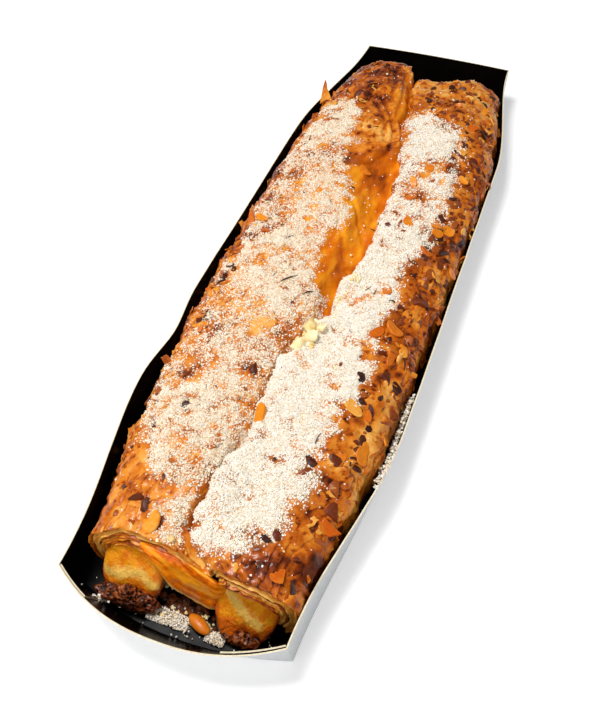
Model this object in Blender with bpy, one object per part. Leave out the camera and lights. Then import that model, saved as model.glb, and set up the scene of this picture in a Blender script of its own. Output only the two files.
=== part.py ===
"""Danish pastry bar, baked and served in its folded card tray.

The bar is a long parcel of laminated dough: a left and a right flap are folded over two runs of
custard, meet along a groove, and gape in the middle to show the inner dough. Chopped nuts and almond
flakes are baked on to the crust. At the open front end the custard shows, some of it has leaked and
burnt on the card, and one almond lies loose.

Frame: origin on the tray's underside at the middle of its length, +X right, +Y to the back, +Z up.
The named sizes below are millimetres.
"""

import math
import random

import bpy
import numpy as np
from mathutils import Matrix, Vector

MM = 0.001
GAP = 0.3  # air kept between solids that touch

# Card tray
TRAY_HALF_LENGTH = 200.0
TRAY_END_HALF_WIDTH = 47.1
TRAY_HEIGHT = 24.0
CARD = 0.6
RIM_BULGE = 14.0  # how far each side wall's rim bows out at mid length
BASE_BULGE = 8.5
BULGE_RUN = 105.0  # length over which the bow eases in from each end
LEFT_KINK = (-77.0, 3.0, 18.0)  # place, depth and reach of the dent in the left rim
FRONT_BOW = 14.2
FRONT_CREASE = (-195.5, 8.0)  # the front wall's fold in the base: its ends, and its bow
BACK_CREASE = 196.0
BACK_BOW = 1.5
LEFT_TAB_END = -31.0  # the glued corner tabs reach this far along the front wall
RIGHT_TAB_END = 25.0
TAB_CLEARANCE = 0.9  # between a tab and the front wall
TAB_DROP = 0.8  # the tabs stop this far under the rim
TAB_STATIONS = 7

# Pastry body: each pair is a place along the bar and the size there
DOUGH_BASE = CARD + GAP
FRONT_Y = -182.0
BACK_Y = 173.0
HALF_WIDTH_LEFT = (
    (-190, 40), (-160, 45), (-120, 50), (-80, 53), (0, 55.5), (60, 55.5), (110, 52), (150, 47), (170, 44),
)
HALF_WIDTH_RIGHT = (
    (-190, 45), (-160, 49), (-120, 54), (-80, 56), (0, 58), (80, 59), (106, 57), (136, 53), (170, 48),
)
CROWN = ((-190, 36), (-165, 37), (0, 38.5), (60, 40), (105, 41), (140, 39), (170, 36))
FOLD_EDGE = (
    (-190, 20), (-185, 14), (-180, 8), (-175, 1), (-170, -1), (-140, 0), (-120, 3), (-80, 3), (-66, 6), (-55, 13),
    (-40, 13), (0, 17), (45, 15), (72, 12), (97, 6), (120, 3), (150, 0), (170, -2),
)  # left edge of the right flap
LIP_EDGE = (
    (-190, 4), (-185, -2), (-180, -4), (-172, -6), (-140, -5), (-80, -2), (-66, 2), (-60, 3), (-40, 0),
    (0, -4), (20, -2), (30, -6), (46, -14), (58, -14), (68, -3), (78, 7), (97, 1), (120, -2), (170, -7),
)  # right edge of the left flap
GROOVE_DEPTH = ((-190, 8), (-165, 7), (-66, 7), (-45, 9), (45, 10), (68, 9), (84, 6), (140, 6), (170, 8))
LIP_DROP = 1.2  # how far the left flap's edge sinks before the groove starts
FOLD_WALL = (-0.8, 2.4)  # where the groove's steep wall starts from the fold's edge, and how wide it is
FOLD_RIDGE = 0.8  # height of the ridge along the fold
FLAP_CROWNS = ((1.3, -27, 14), (1.5, 32, 12))  # height, middle and reach of each flap's own crown
SWELLS = ((0.5, 9.0, 17.0), (0.4, 5.2, -11.0))  # height of the crust's waves, and their run along and across
BODY_EXPONENT = 2.9  # squareness of the body's cross-section
WIDEST_SHARE = 0.48  # height of the widest place, as a share of the crown
UNDERCUT = 0.10
SHOULDER = 0.86  # where a side turns into the top, as a share of the half-width
SIDE_TURN = 0.45  # share of the side's points that lie below the widest place
WALL_CLEARANCE = 0.6
RIM_ROOM = 1.5  # height above the rim up to which that clearance is kept
FRONT_LAYERS = ((0.0, 1.0), (-0.6, 0.955), (-2.4, 0.95), (-2.9, 0.91), (-4.4, 0.90), (-4.9, 0.86))
FRONT_MIDDLE = (14.6, 17.3)  # x and z that the ends draw in towards
BACK_MIDDLE = (-2.0, 14.0)
BACK_ROUND, BACK_RINGS, BACK_EXPONENT = 11.0, 6, 2.6
RING_STEP = 7.5

# Custard runs, as centre x, centre z, half-width, half-height
LEFT_RUN = (-22.2, 16.9, 13.1, 14.9)
RIGHT_RUN = (25.6, 16.9, 12.8, 15.0)
RUN_EXPONENT = 2.4
INNER_RUN_SHARE = 0.78  # the runs are this much smaller inside the bar
RUN_DROP = 3.0  # how far a narrowing run's middle sinks
LEFT_ENDS = (-191.5, 172.5)  # front and back of each run
RIGHT_ENDS = (-190.5, 165.5)
CUSTARD_SWELL = 6.0  # depth of the bulge's rounding
CUSTARD_SAG = 1.6
CUSTARD_FRONT = (0.3, 0.62, 0.85, 0.97)  # sizes of the rings that round the front end
CUSTARD_BACK = ((3.0, 0.94), (0.8, 0.75), (0.0, 0.4))  # distance from the back end, and size

# Loose and leaked pieces at the front: centre, half-sizes
LEFT_LEAK = ((-22.5, -196.0), (12.5, 3.8, 12.0))
RIGHT_LEAK = ((25.5, -194.9), (6.3, 3.7, 6.5))
ALMOND = ((8.2, -195.6), (5.6, 2.7, 1.9), -24.0)
FRONT_ROOM = 2.1  # kept between these pieces and the front wall, for the corner tabs


def along(table, y):
    """Value at y of a smooth curve through the table's points."""
    ys = [float(p[0]) for p in table]
    values = [float(p[1]) for p in table]
    y = min(max(y, ys[0]), ys[-1])
    i = min(max(np.searchsorted(ys, y, side="right") - 1, 0), len(ys) - 2)

    def slope(k):
        if k <= 0 or k >= len(ys) - 1:
            return 0.0
        before = (values[k] - values[k - 1]) / (ys[k] - ys[k - 1])
        after = (values[k + 1] - values[k]) / (ys[k + 1] - ys[k])
        return 0.0 if before * after <= 0 else 2 * before * after / (before + after)

    span = ys[i + 1] - ys[i]
    t = (y - ys[i]) / span
    return (
        values[i] * (1 + 2 * t) * (1 - t) ** 2
        + values[i + 1] * t * t * (3 - 2 * t)
        + slope(i) * span * t * (1 - t) ** 2
        - slope(i + 1) * span * t * t * (1 - t)
    )


def ease(t):
    """Smooth step from 0 to 1."""
    t = min(max(t, 0.0), 1.0)
    return t * t * (3 - 2 * t)


def hump(x, centre, reach):
    """Bell curve of height 1."""
    return math.exp(-(((x - centre) / reach) ** 2))


def material(name, colour, roughness, metallic=0.0):
    """Principled material with a plain colour."""
    made = bpy.data.materials.new(name)
    made.use_nodes = True
    shader = made.node_tree.nodes["Principled BSDF"]
    shader.inputs["Base Color"].default_value = (*colour, 1.0)
    shader.inputs["Roughness"].default_value = roughness
    shader.inputs["Metallic"].default_value = metallic
    return made


def mesh_object(name, points, faces, finish=None, collection=None):
    """Object from points in millimetres and faces."""
    mesh = bpy.data.meshes.new(name)
    mesh.from_pydata([Vector(p) * MM for p in points], [], faces)
    mesh.validate()
    made = bpy.data.objects.new(name, mesh)
    (collection or bpy.context.scene.collection).objects.link(made)
    if finish:
        mesh.materials.append(finish)
    return made


def loft(rings, middles=(None, None)):
    """Points and outward faces of a closed skin over rings of equal length, anticlockwise seen from +Y.

    Each end is closed by a fan round its point of middles, or round its ring's mean.
    """
    count = len(rings[0])
    points = [p for ring in rings for p in ring]
    faces = []
    for r in range(len(rings) - 1):
        for i in range(count):
            j = (i + 1) % count
            near, far = r * count, (r + 1) * count
            faces += [(near + i, near + j, far + j), (near + i, far + j, far + i)]
    for r, middle, backwards in ((0, middles[0], True), (len(rings) - 1, middles[1], False)):
        hub = len(points)
        points.append(middle or tuple(np.mean(rings[r], axis=0)))
        for i in range(count):
            edge = (r * count + i, r * count + (i + 1) % count)
            faces.append((hub, *(edge[::-1] if backwards else edge)))
    return points, faces


# ---------------------------------------------------------------- card tray


def bulge(y):
    """Share of the side walls' bow at y."""
    return ease((TRAY_HALF_LENGTH - abs(y)) / BULGE_RUN)


def tray_outline(level):
    """Outline of the tray's outer face, level 0 at the base and 1 at the rim, anticlockwise from the front left."""
    side_count, end_count = 26, 12
    front_base, front_bow = FRONT_CREASE
    front = front_base + (-TRAY_HALF_LENGTH - front_base) * level
    back = BACK_CREASE + (TRAY_HALF_LENGTH - BACK_CREASE) * level
    bow = front_bow + (FRONT_BOW - front_bow) * level
    bow_power = 2.0 + 0.3 * level
    sideways = BASE_BULGE + (RIM_BULGE - BASE_BULGE) * level
    place, depth, reach = LEFT_KINK

    def half_width(y):
        return TRAY_END_HALF_WIDTH + sideways * bulge(y)

    points = []
    for k in range(end_count):
        x = -TRAY_END_HALF_WIDTH + 2 * TRAY_END_HALF_WIDTH * k / end_count
        points.append((x, front - bow * (1 - (abs(x) / TRAY_END_HALF_WIDTH) ** bow_power)))
    for k in range(side_count):
        y = front + (back - front) * k / side_count
        points.append((half_width(y), y))
    for k in range(end_count):
        x = TRAY_END_HALF_WIDTH - 2 * TRAY_END_HALF_WIDTH * k / end_count
        points.append((x, back + BACK_BOW * level * (1 - (x / TRAY_END_HALF_WIDTH) ** 2)))
    for k in range(side_count):
        y = back + (front - back) * k / side_count
        points.append((-half_width(y) + level * depth * hump(y, place, reach), y))
    return points


def inset(outline, distance):
    """Outline moved inwards by distance."""
    count = len(outline)
    moved = []
    for i in range(count):
        here = Vector(outline[i])
        into = (here - Vector(outline[i - 1])).normalized()
        out = (Vector(outline[(i + 1) % count]) - here).normalized()
        normal_in = Vector((-into.y, into.x))
        normal_out = Vector((-out.y, out.x))
        corner = (normal_in + normal_out).normalized()
        moved.append(tuple(here + corner * distance / max(corner.dot(normal_in), 0.4)))
    return moved


def at_level(base, rim, z):
    """Outline between the base's and the rim's at height z."""
    share = z / TRAY_HEIGHT
    return [(a[0] + (b[0] - a[0]) * share, a[1] + (b[1] - a[1]) * share, z) for a, b in zip(base, rim)]


def wall_inside(x_side, y, z):
    """x of a side wall's inner face, on the side that x_side's sign gives."""
    level = min(max(z / TRAY_HEIGHT, 0.0), 1.0)
    x = TRAY_END_HALF_WIDTH + (BASE_BULGE + (RIM_BULGE - BASE_BULGE) * level) * bulge(y) - CARD
    if x_side < 0:
        place, depth, reach = LEFT_KINK
        x -= level * depth * hump(y, place, reach)
    return math.copysign(x, x_side)


def overshoot(x, y, z):
    """How far a point reaches past its side of the tray's room for the pastry, 0 above the rim."""
    if z > TRAY_HEIGHT + RIM_ROOM:
        return 0.0
    return max(abs(x) - (abs(wall_inside(x, y, min(z, TRAY_HEIGHT))) - WALL_CLEARANCE), 0.0)


def moved_inside(points):
    """Points shifted across the bar, all alike, until none comes too near a side wall."""
    most = max(points, key=lambda p: overshoot(*p))
    shift = -math.copysign(overshoot(*most), most[0])
    return [(p[0] + shift, p[1], p[2]) for p in points]


def front_wall_inside(x, z):
    """y of the front wall's inner face."""
    level = z / TRAY_HEIGHT
    front_base, front_bow = FRONT_CREASE
    share = min(abs(x) / TRAY_END_HALF_WIDTH, 1.0)
    base = front_base - front_bow * (1 - share**2)
    rim = -TRAY_HALF_LENGTH - FRONT_BOW * (1 - share**2.3)
    return base + (rim - base) * level + CARD


def corner_tab(name, start, end, finish, collection):
    """Glued flap that runs from a side wall's end along the inside of the front wall."""
    levels = (CARD * 0.5, TRAY_HEIGHT * 0.5, TRAY_HEIGHT - TAB_DROP)
    rings = []
    for k in range(TAB_STATIONS):
        x = start + (end - start) * k / (TAB_STATIONS - 1)
        ring = [(x, front_wall_inside(x, z) + TAB_CLEARANCE, z) for z in levels]
        ring += [(x, front_wall_inside(x, z) + TAB_CLEARANCE + CARD, z) for z in reversed(levels)]
        rings.append(ring)
    if start > end:
        rings.reverse()
    points, faces = loft(rings)
    return mesh_object(name, points, faces, finish, collection)


def build_tray():
    """Folded card tray with its two corner tabs."""
    card = material("card_black_gloss", (0.02, 0.018, 0.017), 0.25)
    base = tray_outline(0.0)
    rim = tray_outline(1.0)
    inner_base, inner_rim = inset(base, CARD), inset(rim, CARD)
    rings = [
        at_level(base, rim, 0.0),
        at_level(base, rim, TRAY_HEIGHT),
        at_level(inner_base, inner_rim, TRAY_HEIGHT),
        at_level(inner_base, inner_rim, CARD),
    ]
    count = len(base)
    points = [p for ring in rings for p in ring]
    faces = [tuple(reversed(range(count))), tuple(range(3 * count, 4 * count))]
    for r in range(3):
        for i in range(count):
            j = (i + 1) % count
            faces.append((r * count + i, r * count + j, (r + 1) * count + j, (r + 1) * count + i))
    tray = mesh_object("card_tray", points, faces, card)
    tabs = new_collection("tabs")
    edge = TRAY_END_HALF_WIDTH - CARD * 0.5
    corner_tab("left_tab", -edge, LEFT_TAB_END, card, tabs)
    corner_tab("right_tab", edge, RIGHT_TAB_END, card, tabs)
    combine(tray, tabs, "UNION")
    return tray


# ---------------------------------------------------------------- pastry body

# Shares of the way over the crust, from the left foot to the right foot
LEFT_TOP, LIP, FLOOR, EDGE, RIGHT_TOP = 0.17, 0.42, 0.50, 0.56, 0.83
SECTION_STOPS = ((0.0, 5), (LEFT_TOP, 7), (LIP, 4), (FLOOR, 2), (EDGE, 7), (RIGHT_TOP, 5), (1.0, 0))
UNDERSIDE_STEPS = 4


def body_sizes(y):
    """Half-width left and right, crown and widest height at y."""
    crown = along(CROWN, y)
    return along(HALF_WIDTH_LEFT, y), along(HALF_WIDTH_RIGHT, y), crown, crown * WIDEST_SHARE


def dome(x, y):
    """Height of the crust over x, without the fold."""
    left, right, crown, widest = body_sizes(y)
    share = min(abs(x) / (left if x < 0 else right), 1.0)
    height = widest + (crown - widest) * (1 - share**BODY_EXPONENT) ** (1 / BODY_EXPONENT)
    flaps = sum(lift * hump(x, middle, reach) for lift, middle, reach in FLAP_CROWNS)
    swell = sum(lift * math.sin(y / run_y + x / run_x) for lift, run_y, run_x in SWELLS)
    return height + (flaps + swell) * (1 - share**6)


def side(share, half_width, y):
    """Point on a side: share 0 at the foot, 1 at the shoulder."""
    crown = along(CROWN, y)
    widest = crown * WIDEST_SHARE
    if share < SIDE_TURN:
        s = share / SIDE_TURN
        return half_width * (1 - UNDERCUT * (1 - s) ** 2.5), DOUGH_BASE + (widest - DOUGH_BASE) * s
    top = (1 - SHOULDER**BODY_EXPONENT) ** (1 / BODY_EXPONENT)
    q = top * (share - SIDE_TURN) / (1 - SIDE_TURN)
    return half_width * (1 - q**BODY_EXPONENT) ** (1 / BODY_EXPONENT), widest + (crown - widest) * q


def crust_point(u, y):
    """(x, z) of the crust at share u over the section at y, before the ends are shaped."""
    left, right, _, _ = body_sizes(y)
    lip, edge, depth = along(LIP_EDGE, y), along(FOLD_EDGE, y), along(GROOVE_DEPTH, y)
    wobble = 0.5 * math.sin(y / 6.1) + 0.45 * math.sin(y / 3.7 + 1.0)
    wall_start, wall_width = FOLD_WALL
    if u < LEFT_TOP or u > RIGHT_TOP:
        sign = -1 if u < LEFT_TOP else 1
        share = u / LEFT_TOP if sign < 0 else (1 - u) / (1 - RIGHT_TOP)
        half = left if sign < 0 else right
        x, z = side(share, half + wobble * ease(share * 3), y)
        shoulder_lift = dome(sign * half * SHOULDER, y) - side(1.0, half, y)[1]
        z += shoulder_lift * ease((share - 0.5) * 2)
        return sign * x, z
    if u <= LIP:
        t = (u - LEFT_TOP) / (LIP - LEFT_TOP)
        x = -left * SHOULDER + (lip + left * SHOULDER) * t - wobble * (1 - t) ** 2
        return x, dome(x, y) - LIP_DROP * hump(x, lip, 2.5)
    if u <= FLOOR:
        t = (u - LIP) / (FLOOR - LIP)
        x = lip + (edge + wall_start - lip) * t
        return x, dome(x, y) - LIP_DROP - (depth - LIP_DROP) * ease(t * 1.15)
    if u <= EDGE:
        t = (u - FLOOR) / (EDGE - FLOOR)
        x = edge + wall_start + wall_width * t
        return x, dome(x, y) - depth * (1 - ease(t))
    t = (u - EDGE) / (RIGHT_TOP - EDGE)
    start = edge + wall_start + wall_width
    x = start + (right * SHOULDER - start) * t + wobble * t**2
    return x, dome(x, y) + FOLD_RIDGE * hump(t, 0.08, 0.12)


def front_edge(x):
    """How far the crust's front edge stands ahead of its middle, at x."""
    return -3.5 * ease((-27 - x) / 12) - 4.5 * ease((x + 25) / 50)


def back_edge(x):
    """How far the notch and the shorter right lobe draw in the back end, at x."""
    return -13.0 * ease((x + 13) / 13) + 9.5 * ease((x - 4) / 36)


def shaped(x, y, z):
    """Crust point with the outlines of both ends worked in."""
    front = ease((-140 - y) / 42)
    back = ease((y - 120) / 40)
    y += front * front_edge(x) + back * back_edge(x)
    return x - math.copysign(overshoot(x, y, z), x), y, z


def section_shares():
    """Shares over the crust where the section has its points."""
    shares = []
    for (start, steps), (end, _) in zip(SECTION_STOPS, SECTION_STOPS[1:]):
        shares += [start + (end - start) * k / steps for k in range(steps)]
    return shares + [1.0]


def section(y):
    """Closed ring of the body at y, anticlockwise seen from +Y."""
    ring = [crust_point(u, y) for u in section_shares()]
    first, last = ring[0], ring[-1]
    for k in range(1, UNDERSIDE_STEPS):
        ring.append((last[0] + (first[0] - last[0]) * k / UNDERSIDE_STEPS, DOUGH_BASE))
    return [shaped(x, y, z) for x, z in ring]


def drawn_in(ring, scale, middle):
    """Ring made smaller towards a middle (x, z), each point staying at its place along the bar."""
    cx, cz = middle
    return [(cx + (x - cx) * scale, y, cz + (z - cz) * scale) for x, y, z in ring]


def end_middle(ring, middle):
    """Point that closes an end: the middle (x, z) at the ring's mean place along the bar."""
    return middle[0], float(np.mean([y for _, y, _ in ring])), middle[1]


def build_body(finish):
    """Lofted body: stepped laminated front, rounded back."""
    rings = [drawn_in(section(FRONT_Y + step), scale, FRONT_MIDDLE) for step, scale in reversed(FRONT_LAYERS)]
    rings += [section(y) for y in np.arange(FRONT_Y + 4.0, BACK_Y - BACK_ROUND, RING_STEP)]
    for k in range(1, BACK_RINGS + 1):
        t = k / (BACK_RINGS + 0.35)
        scale = (1 - t**BACK_EXPONENT) ** (1 / BACK_EXPONENT)
        rings.append(drawn_in(section(BACK_Y - BACK_ROUND * (1 - t)), scale, BACK_MIDDLE))
    ends = end_middle(rings[0], FRONT_MIDDLE), end_middle(rings[-1], BACK_MIDDLE)
    points, faces = loft(rings, ends)
    return mesh_object("pastry_dough", points, faces, finish)


def run_ring(run, y, share, shrink=0.0, count=18):
    """Ring round a custard run at y, or round its channel with no shrink."""
    cx, cz, rx, rz = run
    ring = []
    for k in range(count):
        a = -2 * math.pi * k / count
        c, s = math.cos(a), math.sin(a)
        x = cx + (rx * share - shrink) * math.copysign(abs(c) ** (2 / RUN_EXPONENT), c)
        z = cz + (rz * share - shrink) * math.copysign(abs(s) ** (2 / RUN_EXPONENT), s)
        ring.append((x, y, z - (1 - share) * RUN_DROP))
    return ring


def run_share(y):
    """Size of a run at y as a share of its size at the front mouth."""
    return INNER_RUN_SHARE + (1 - INNER_RUN_SHARE) * ease((-150 - y) / 30)


def run_stations(back_end):
    """Places along the bar where a run and its channel both have a ring, so that their facets stay parallel."""
    return -178, -170, -158, -140, 0, back_end - 14


def channel(name, run, back_end, collection):
    """Tube cut through the body for a custard run."""
    stations = (-215, *run_stations(back_end), 190)
    points, faces = loft([run_ring(run, y, run_share(y)) for y in stations])
    return mesh_object(name, points, faces, None, collection)


def build_custard(name, run, ends, finish):
    """Custard run: fills its channel and swells out of both mouths."""
    rings = []
    front, back_end = ends
    for share in CUSTARD_FRONT:
        y = front + CUSTARD_SWELL * (1 - math.sqrt(1 - share**2))
        sag = CUSTARD_SAG * (1 - share) / 0.7
        rings.append([(x, y, max(z - sag, DOUGH_BASE)) for x, y, z in run_ring(run, y, share, GAP)])
    for y in run_stations(back_end):
        rings.append(run_ring(run, y, run_share(y), GAP))
    for inward, share in CUSTARD_BACK:
        rings.append(run_ring(run, back_end - inward, run_share(back_end) * share, GAP))
    points, faces = loft(rings)
    made = mesh_object(name, points, faces, finish)
    cuts = new_collection("strip_room")
    front_strip(cuts, GAP)
    combine(made, cuts, "DIFFERENCE")
    return made


# ---------------------------------------------------------------- toppings


def share_at(x, y):
    """Share over the crust of the point above x at y."""
    left, right, _, _ = body_sizes(y)
    lip, edge = along(LIP_EDGE, y), along(FOLD_EDGE, y)
    if x <= -left * SHOULDER:
        return LEFT_TOP * (0.45 + 0.55 * (left - abs(x)) / (left * (1 - SHOULDER)))
    if x <= lip:
        return LEFT_TOP + (LIP - LEFT_TOP) * (x + left * SHOULDER) / (lip + left * SHOULDER)
    if x <= edge:
        return LIP + (FLOOR - LIP) * (x - lip) / (edge - lip)
    if x < right * SHOULDER:
        start = edge + sum(FOLD_WALL)
        return EDGE + (RIGHT_TOP - EDGE) * max(x - start, 0) / (right * SHOULDER - start)
    return 1 - (1 - RIGHT_TOP) * (0.45 + 0.55 * (right - x) / (right * (1 - SHOULDER)))


def crust_frame(u, y):
    """Place on the crust, and a matrix whose Z is the crust's normal there and whose Y runs along the bar."""
    here = Vector(shaped(*_with_y(crust_point(u, y), y)))
    across = Vector(shaped(*_with_y(crust_point(min(u + 0.01, 1.0), y), y))) - Vector(
        shaped(*_with_y(crust_point(max(u - 0.01, 0.0), y), y))
    )
    ahead = Vector(shaped(*_with_y(crust_point(u, y + 2), y + 2))) - Vector(
        shaped(*_with_y(crust_point(u, y - 2), y - 2))
    )
    normal = across.cross(ahead).normalized()
    ahead = (ahead - normal * ahead.dot(normal)).normalized()
    return here, Matrix((ahead.cross(normal), ahead, normal)).transposed().to_4x4()


def _with_y(point, y):
    """(x, y, z) from a section point (x, z)."""
    return point[0], y, point[1]


def ico_points():
    """The twelve corners and twenty faces of an icosahedron of radius 1."""
    golden = (1 + math.sqrt(5)) / 2
    corners = []
    for a in (-1, 1):
        for b in (-golden, golden):
            corners += [(0, a, b), (a, b, 0), (b, 0, a)]
    corners = [Vector(c).normalized() for c in corners]
    faces = []
    reach = min((corners[0] - c).length for c in corners[1:]) * 1.1
    for i in range(12):
        for j in range(i + 1, 12):
            for k in range(j + 1, 12):
                trio = (corners[i], corners[j], corners[k])
                if all((trio[m] - trio[m - 1]).length < reach for m in range(3)):
                    out = (trio[1] - trio[0]).cross(trio[2] - trio[0]).dot(trio[0]) > 0
                    faces.append((i, j, k) if out else (i, k, j))
    return corners, faces


ICO_CORNERS, ICO_FACES = ico_points()


def nut_chip(name, u, y, size, flatness, draw, collection):
    """Angular chip of nut pressed into the crust."""
    here, frame = crust_frame(u, y)
    turn = Matrix.Rotation(draw.uniform(0, math.tau), 4, "Z") @ Matrix.Rotation(draw.uniform(-0.25, 0.25), 4, "X")
    length, width = size * 1.1, size * draw.uniform(0.7, 0.95)
    points = []
    for corner in ICO_CORNERS:
        wild = draw.uniform(0.82, 1.12)
        local = Vector((corner.x * length, corner.y * width, corner.z * size * flatness)) * 0.52 * wild
        points.append(here + frame.to_3x3() @ (turn.to_3x3() @ local))
    return mesh_object(name, moved_inside(points), ICO_FACES, None, collection)


def almond_flake(name, u, y, length, width, tilt, turn_angle, draw, collection):
    """Thin bent almond slice lying on the crust."""
    here, frame = crust_frame(u, y)
    turn = (Matrix.Rotation(turn_angle, 4, "Z") @ Matrix.Rotation(tilt, 4, "Y")).to_3x3()
    count, thick = 8, 1.5
    points = []
    for level in (-0.5, 0.5):
        for k in range(count):
            a = math.tau * k / count
            r = draw.uniform(0.9, 1.05)
            local = Vector((width * 0.5 * math.cos(a) * r, length * 0.5 * math.sin(a) * r, 0))
            local.z = level * thick + 0.35 - 0.012 * local.y**2
            points.append(here + frame.to_3x3() @ (turn @ local))
    faces = [tuple(reversed(range(count))), tuple(range(count, 2 * count))]
    faces += [(k, (k + 1) % count, count + (k + 1) % count, count + k) for k in range(count)]
    return mesh_object(name, moved_inside(points), faces, None, collection)


# Pieces with a place of their own: x, y, size across, flatness
PLACED_CHIPS = (
    (-28, -167, 7.0, 0.5), (-36, -165, 5.0, 0.5), (-22, -171, 5.0, 0.5), (-14, -176, 4.5, 0.6),
    (45, -172, 7.5, 0.6), (42, -181, 6.0, 0.6), (44, -145, 8.0, 0.6), (31, -128, 8.0, 0.5),
    (47, -25, 8.0, 0.6), (48, -38, 6.5, 0.6), (43, -43, 6.0, 0.6), (43, 12, 6.0, 0.6), (50, 9, 6.5, 0.6),
    (46, 17, 5.5, 0.6), (49, -10, 5.5, 0.6), (43, -18, 4.5, 0.6), (47, -77, 6.0, 0.5), (37, -86, 6.0, 0.5),
    (45, -98, 6.0, 0.5), (53, -98, 6.0, 0.6), (43, -138, 5.0, 0.6), (-29, -124, 8.5, 0.5), (-38, -134, 7.5, 0.5),
    (-44, -73, 5.5, 0.6), (-48, -22, 6.0, 0.5), (-41, -14, 4.0, 0.6), (-43, 17, 6.0, 0.5), (-29, 117, 7.5, 0.5),
    (8, -68, 8.5, 0.5), (25, -169, 7.0, 0.5), (30, -166, 6.0, 0.5), (26, -80, 5.0, 0.5), (-7, -96, 5.5, 0.5),
    (43, 33, 5.5, 0.5), (48, 83, 5.5, 0.5), (45, 66, 5.5, 0.5), (37, 104, 6.0, 0.5), (10, 130, 6.5, 0.45),
    (17, 140, 6.5, 0.45), (12, 120, 6.5, 0.45), (30, 135, 6.0, 0.45), (30, 124, 6.0, 0.45), (25, 115, 6.0, 0.45),
    (38, 113, 5.5, 0.45), (43, 122, 5.5, 0.45), (40, 136, 5.5, 0.45), (31, 147, 5.5, 0.45), (9, 144, 5.5, 0.45),
    (-28, 153, 6.5, 0.4), (-26, 142, 6.0, 0.4), (-24, 131, 6.0, 0.4), (44, -60, 5.0, 0.5), (41, -6, 4.5, 0.6),
)
# x, y, length, width, turn in degrees from the bar's length
PLACED_FLAKES = (
    (-17, -176, 9.0, 7.5, 30), (4.5, -119, 11.0, 5.5, 0), (39, -100, 8.0, 5.5, 60), (42, -51, 8.5, 6.0, 70),
    (36, -57, 8.0, 4.5, -30), (43, 3, 8.0, 4.5, 80), (23, 48, 7.5, 4.5, 20), (25, 36, 6.5, 4.5, -40),
    (-37, -9, 6.0, 5.0, 0), (-44, 2, 9.0, 4.0, 60), (-50, 3, 9.0, 5.0, 10), (-5, 55, 7.0, 4.5, 60),
    (37, -183, 9.0, 8.0, 20), (48, -118, 9.0, 5.5, 20), (46, -152, 8.5, 5.5, 60), (33, -31, 6.0, 4.0, 20),
)
RANDOM_CHIP_ZONES = (  # left x, right x, front y, back y, how many
    (36, 50, -175, -110, 7), (38, 54, -110, -30, 8), (40, 56, -30, 60, 10), (34, 54, 60, 110, 9),
    (8, 50, 108, 158, 16), (-50, -40, -150, 90, 7), (-44, -10, -178, -150, 3), (-40, -8, 138, 162, 4),
)
CHIP_SIZES = (4.8, 7.0)  # smallest and largest of the chips without a place of their own


def scatter_toppings(collection):
    """All chips and flakes that bake on to the crust."""
    draw = random.Random(12)
    made = []
    for n, (x, y, size, flatness) in enumerate(PLACED_CHIPS):
        made.append(nut_chip(f"chip_{n}", share_at(x, y), y, size, flatness, draw, collection))
    for n, (x, y, length, width, turn) in enumerate(PLACED_FLAKES):
        u = share_at(x, y)
        made.append(almond_flake(f"flake_{n}", u, y, length, width, 0.0, math.radians(turn), draw, collection))
    taken = [(x, y, size) for x, y, size, _ in PLACED_CHIPS]
    taken += [(x, y, length) for x, y, length, _, _ in PLACED_FLAKES]
    for left, right, front, back, count in RANDOM_CHIP_ZONES:
        placed = 0
        while placed < count:
            x, y, size = draw.uniform(left, right), draw.uniform(front, back), draw.uniform(*CHIP_SIZES)
            if any(math.hypot(x - a, y - b) < (size + s) * 0.55 for a, b, s in taken):
                continue
            taken.append((x, y, size))
            made.append(nut_chip(f"bit_{len(taken)}", share_at(x, y), y, size, 0.55, draw, collection))
            placed += 1
    return made


def rim_spike(collection):
    """Golden flake that stands out over the left rim near the back."""
    root_front, root_back, ridge = (-45, 110, 27), (-43, 123, 27), (-45, 117, 31)
    tip = (-57.5, 130, 29.5)
    foot_front, foot_back = (-45.5, 112, 24.5), (-44, 121, 24.5)
    points = [root_front, root_back, ridge, tip, foot_front, foot_back]
    faces = [(0, 3, 2), (1, 2, 3), (0, 4, 3), (1, 3, 5), (3, 4, 5), (0, 2, 1), (0, 1, 5), (0, 5, 4)]
    return mesh_object("rim_spike", points, faces, None, collection)


def front_strip(collection, grow=0.0):
    """Inner dough that crosses the open end between the two custard runs, ridged along its length."""
    path = (
        (-12.0, -176.0, 26.0), (-11.0, -185.0, 29.5), (-7.0, -187.3, 27.5), (-1.0, -188.5, 22.5),
        (4.5, -188.5, 16.0), (9.0, -187.0, 7.0), (9.0, -180.0, 5.0),
    )
    half_widths = (4.0, 5.0, 8.0, 10.0, 9.5, 7.0, 6.0)
    half_thick, ridges = 3.4 + grow, 5
    rings = []
    for k, here in enumerate(path):
        here = Vector(here)
        before, after = Vector(path[max(k - 1, 0)]), Vector(path[min(k + 1, len(path) - 1)])
        forward = (after - before).normalized()
        across = Vector((0.8, 0.0, 0.6))
        across = (across - forward * across.dot(forward)).normalized()
        outward = across.cross(forward).normalized()
        half_width = half_widths[k] + grow
        ring = []
        for m in range(2 * ridges + 1):
            t = -1 + m / ridges
            bow = half_thick * (1 - 0.5 * t * t) * (1.0 if m % 2 else 0.84)
            ring.append(tuple(here + across * half_width * t + outward * bow))
        for t in (0.7, 0.0, -0.7):
            ring.append(tuple(here + across * half_width * t - outward * half_thick * 0.8))
        rings.append(ring)
    points, faces = loft(rings)
    return mesh_object("front_strip", points, faces, None, collection)


# ---------------------------------------------------------------- joining


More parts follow.
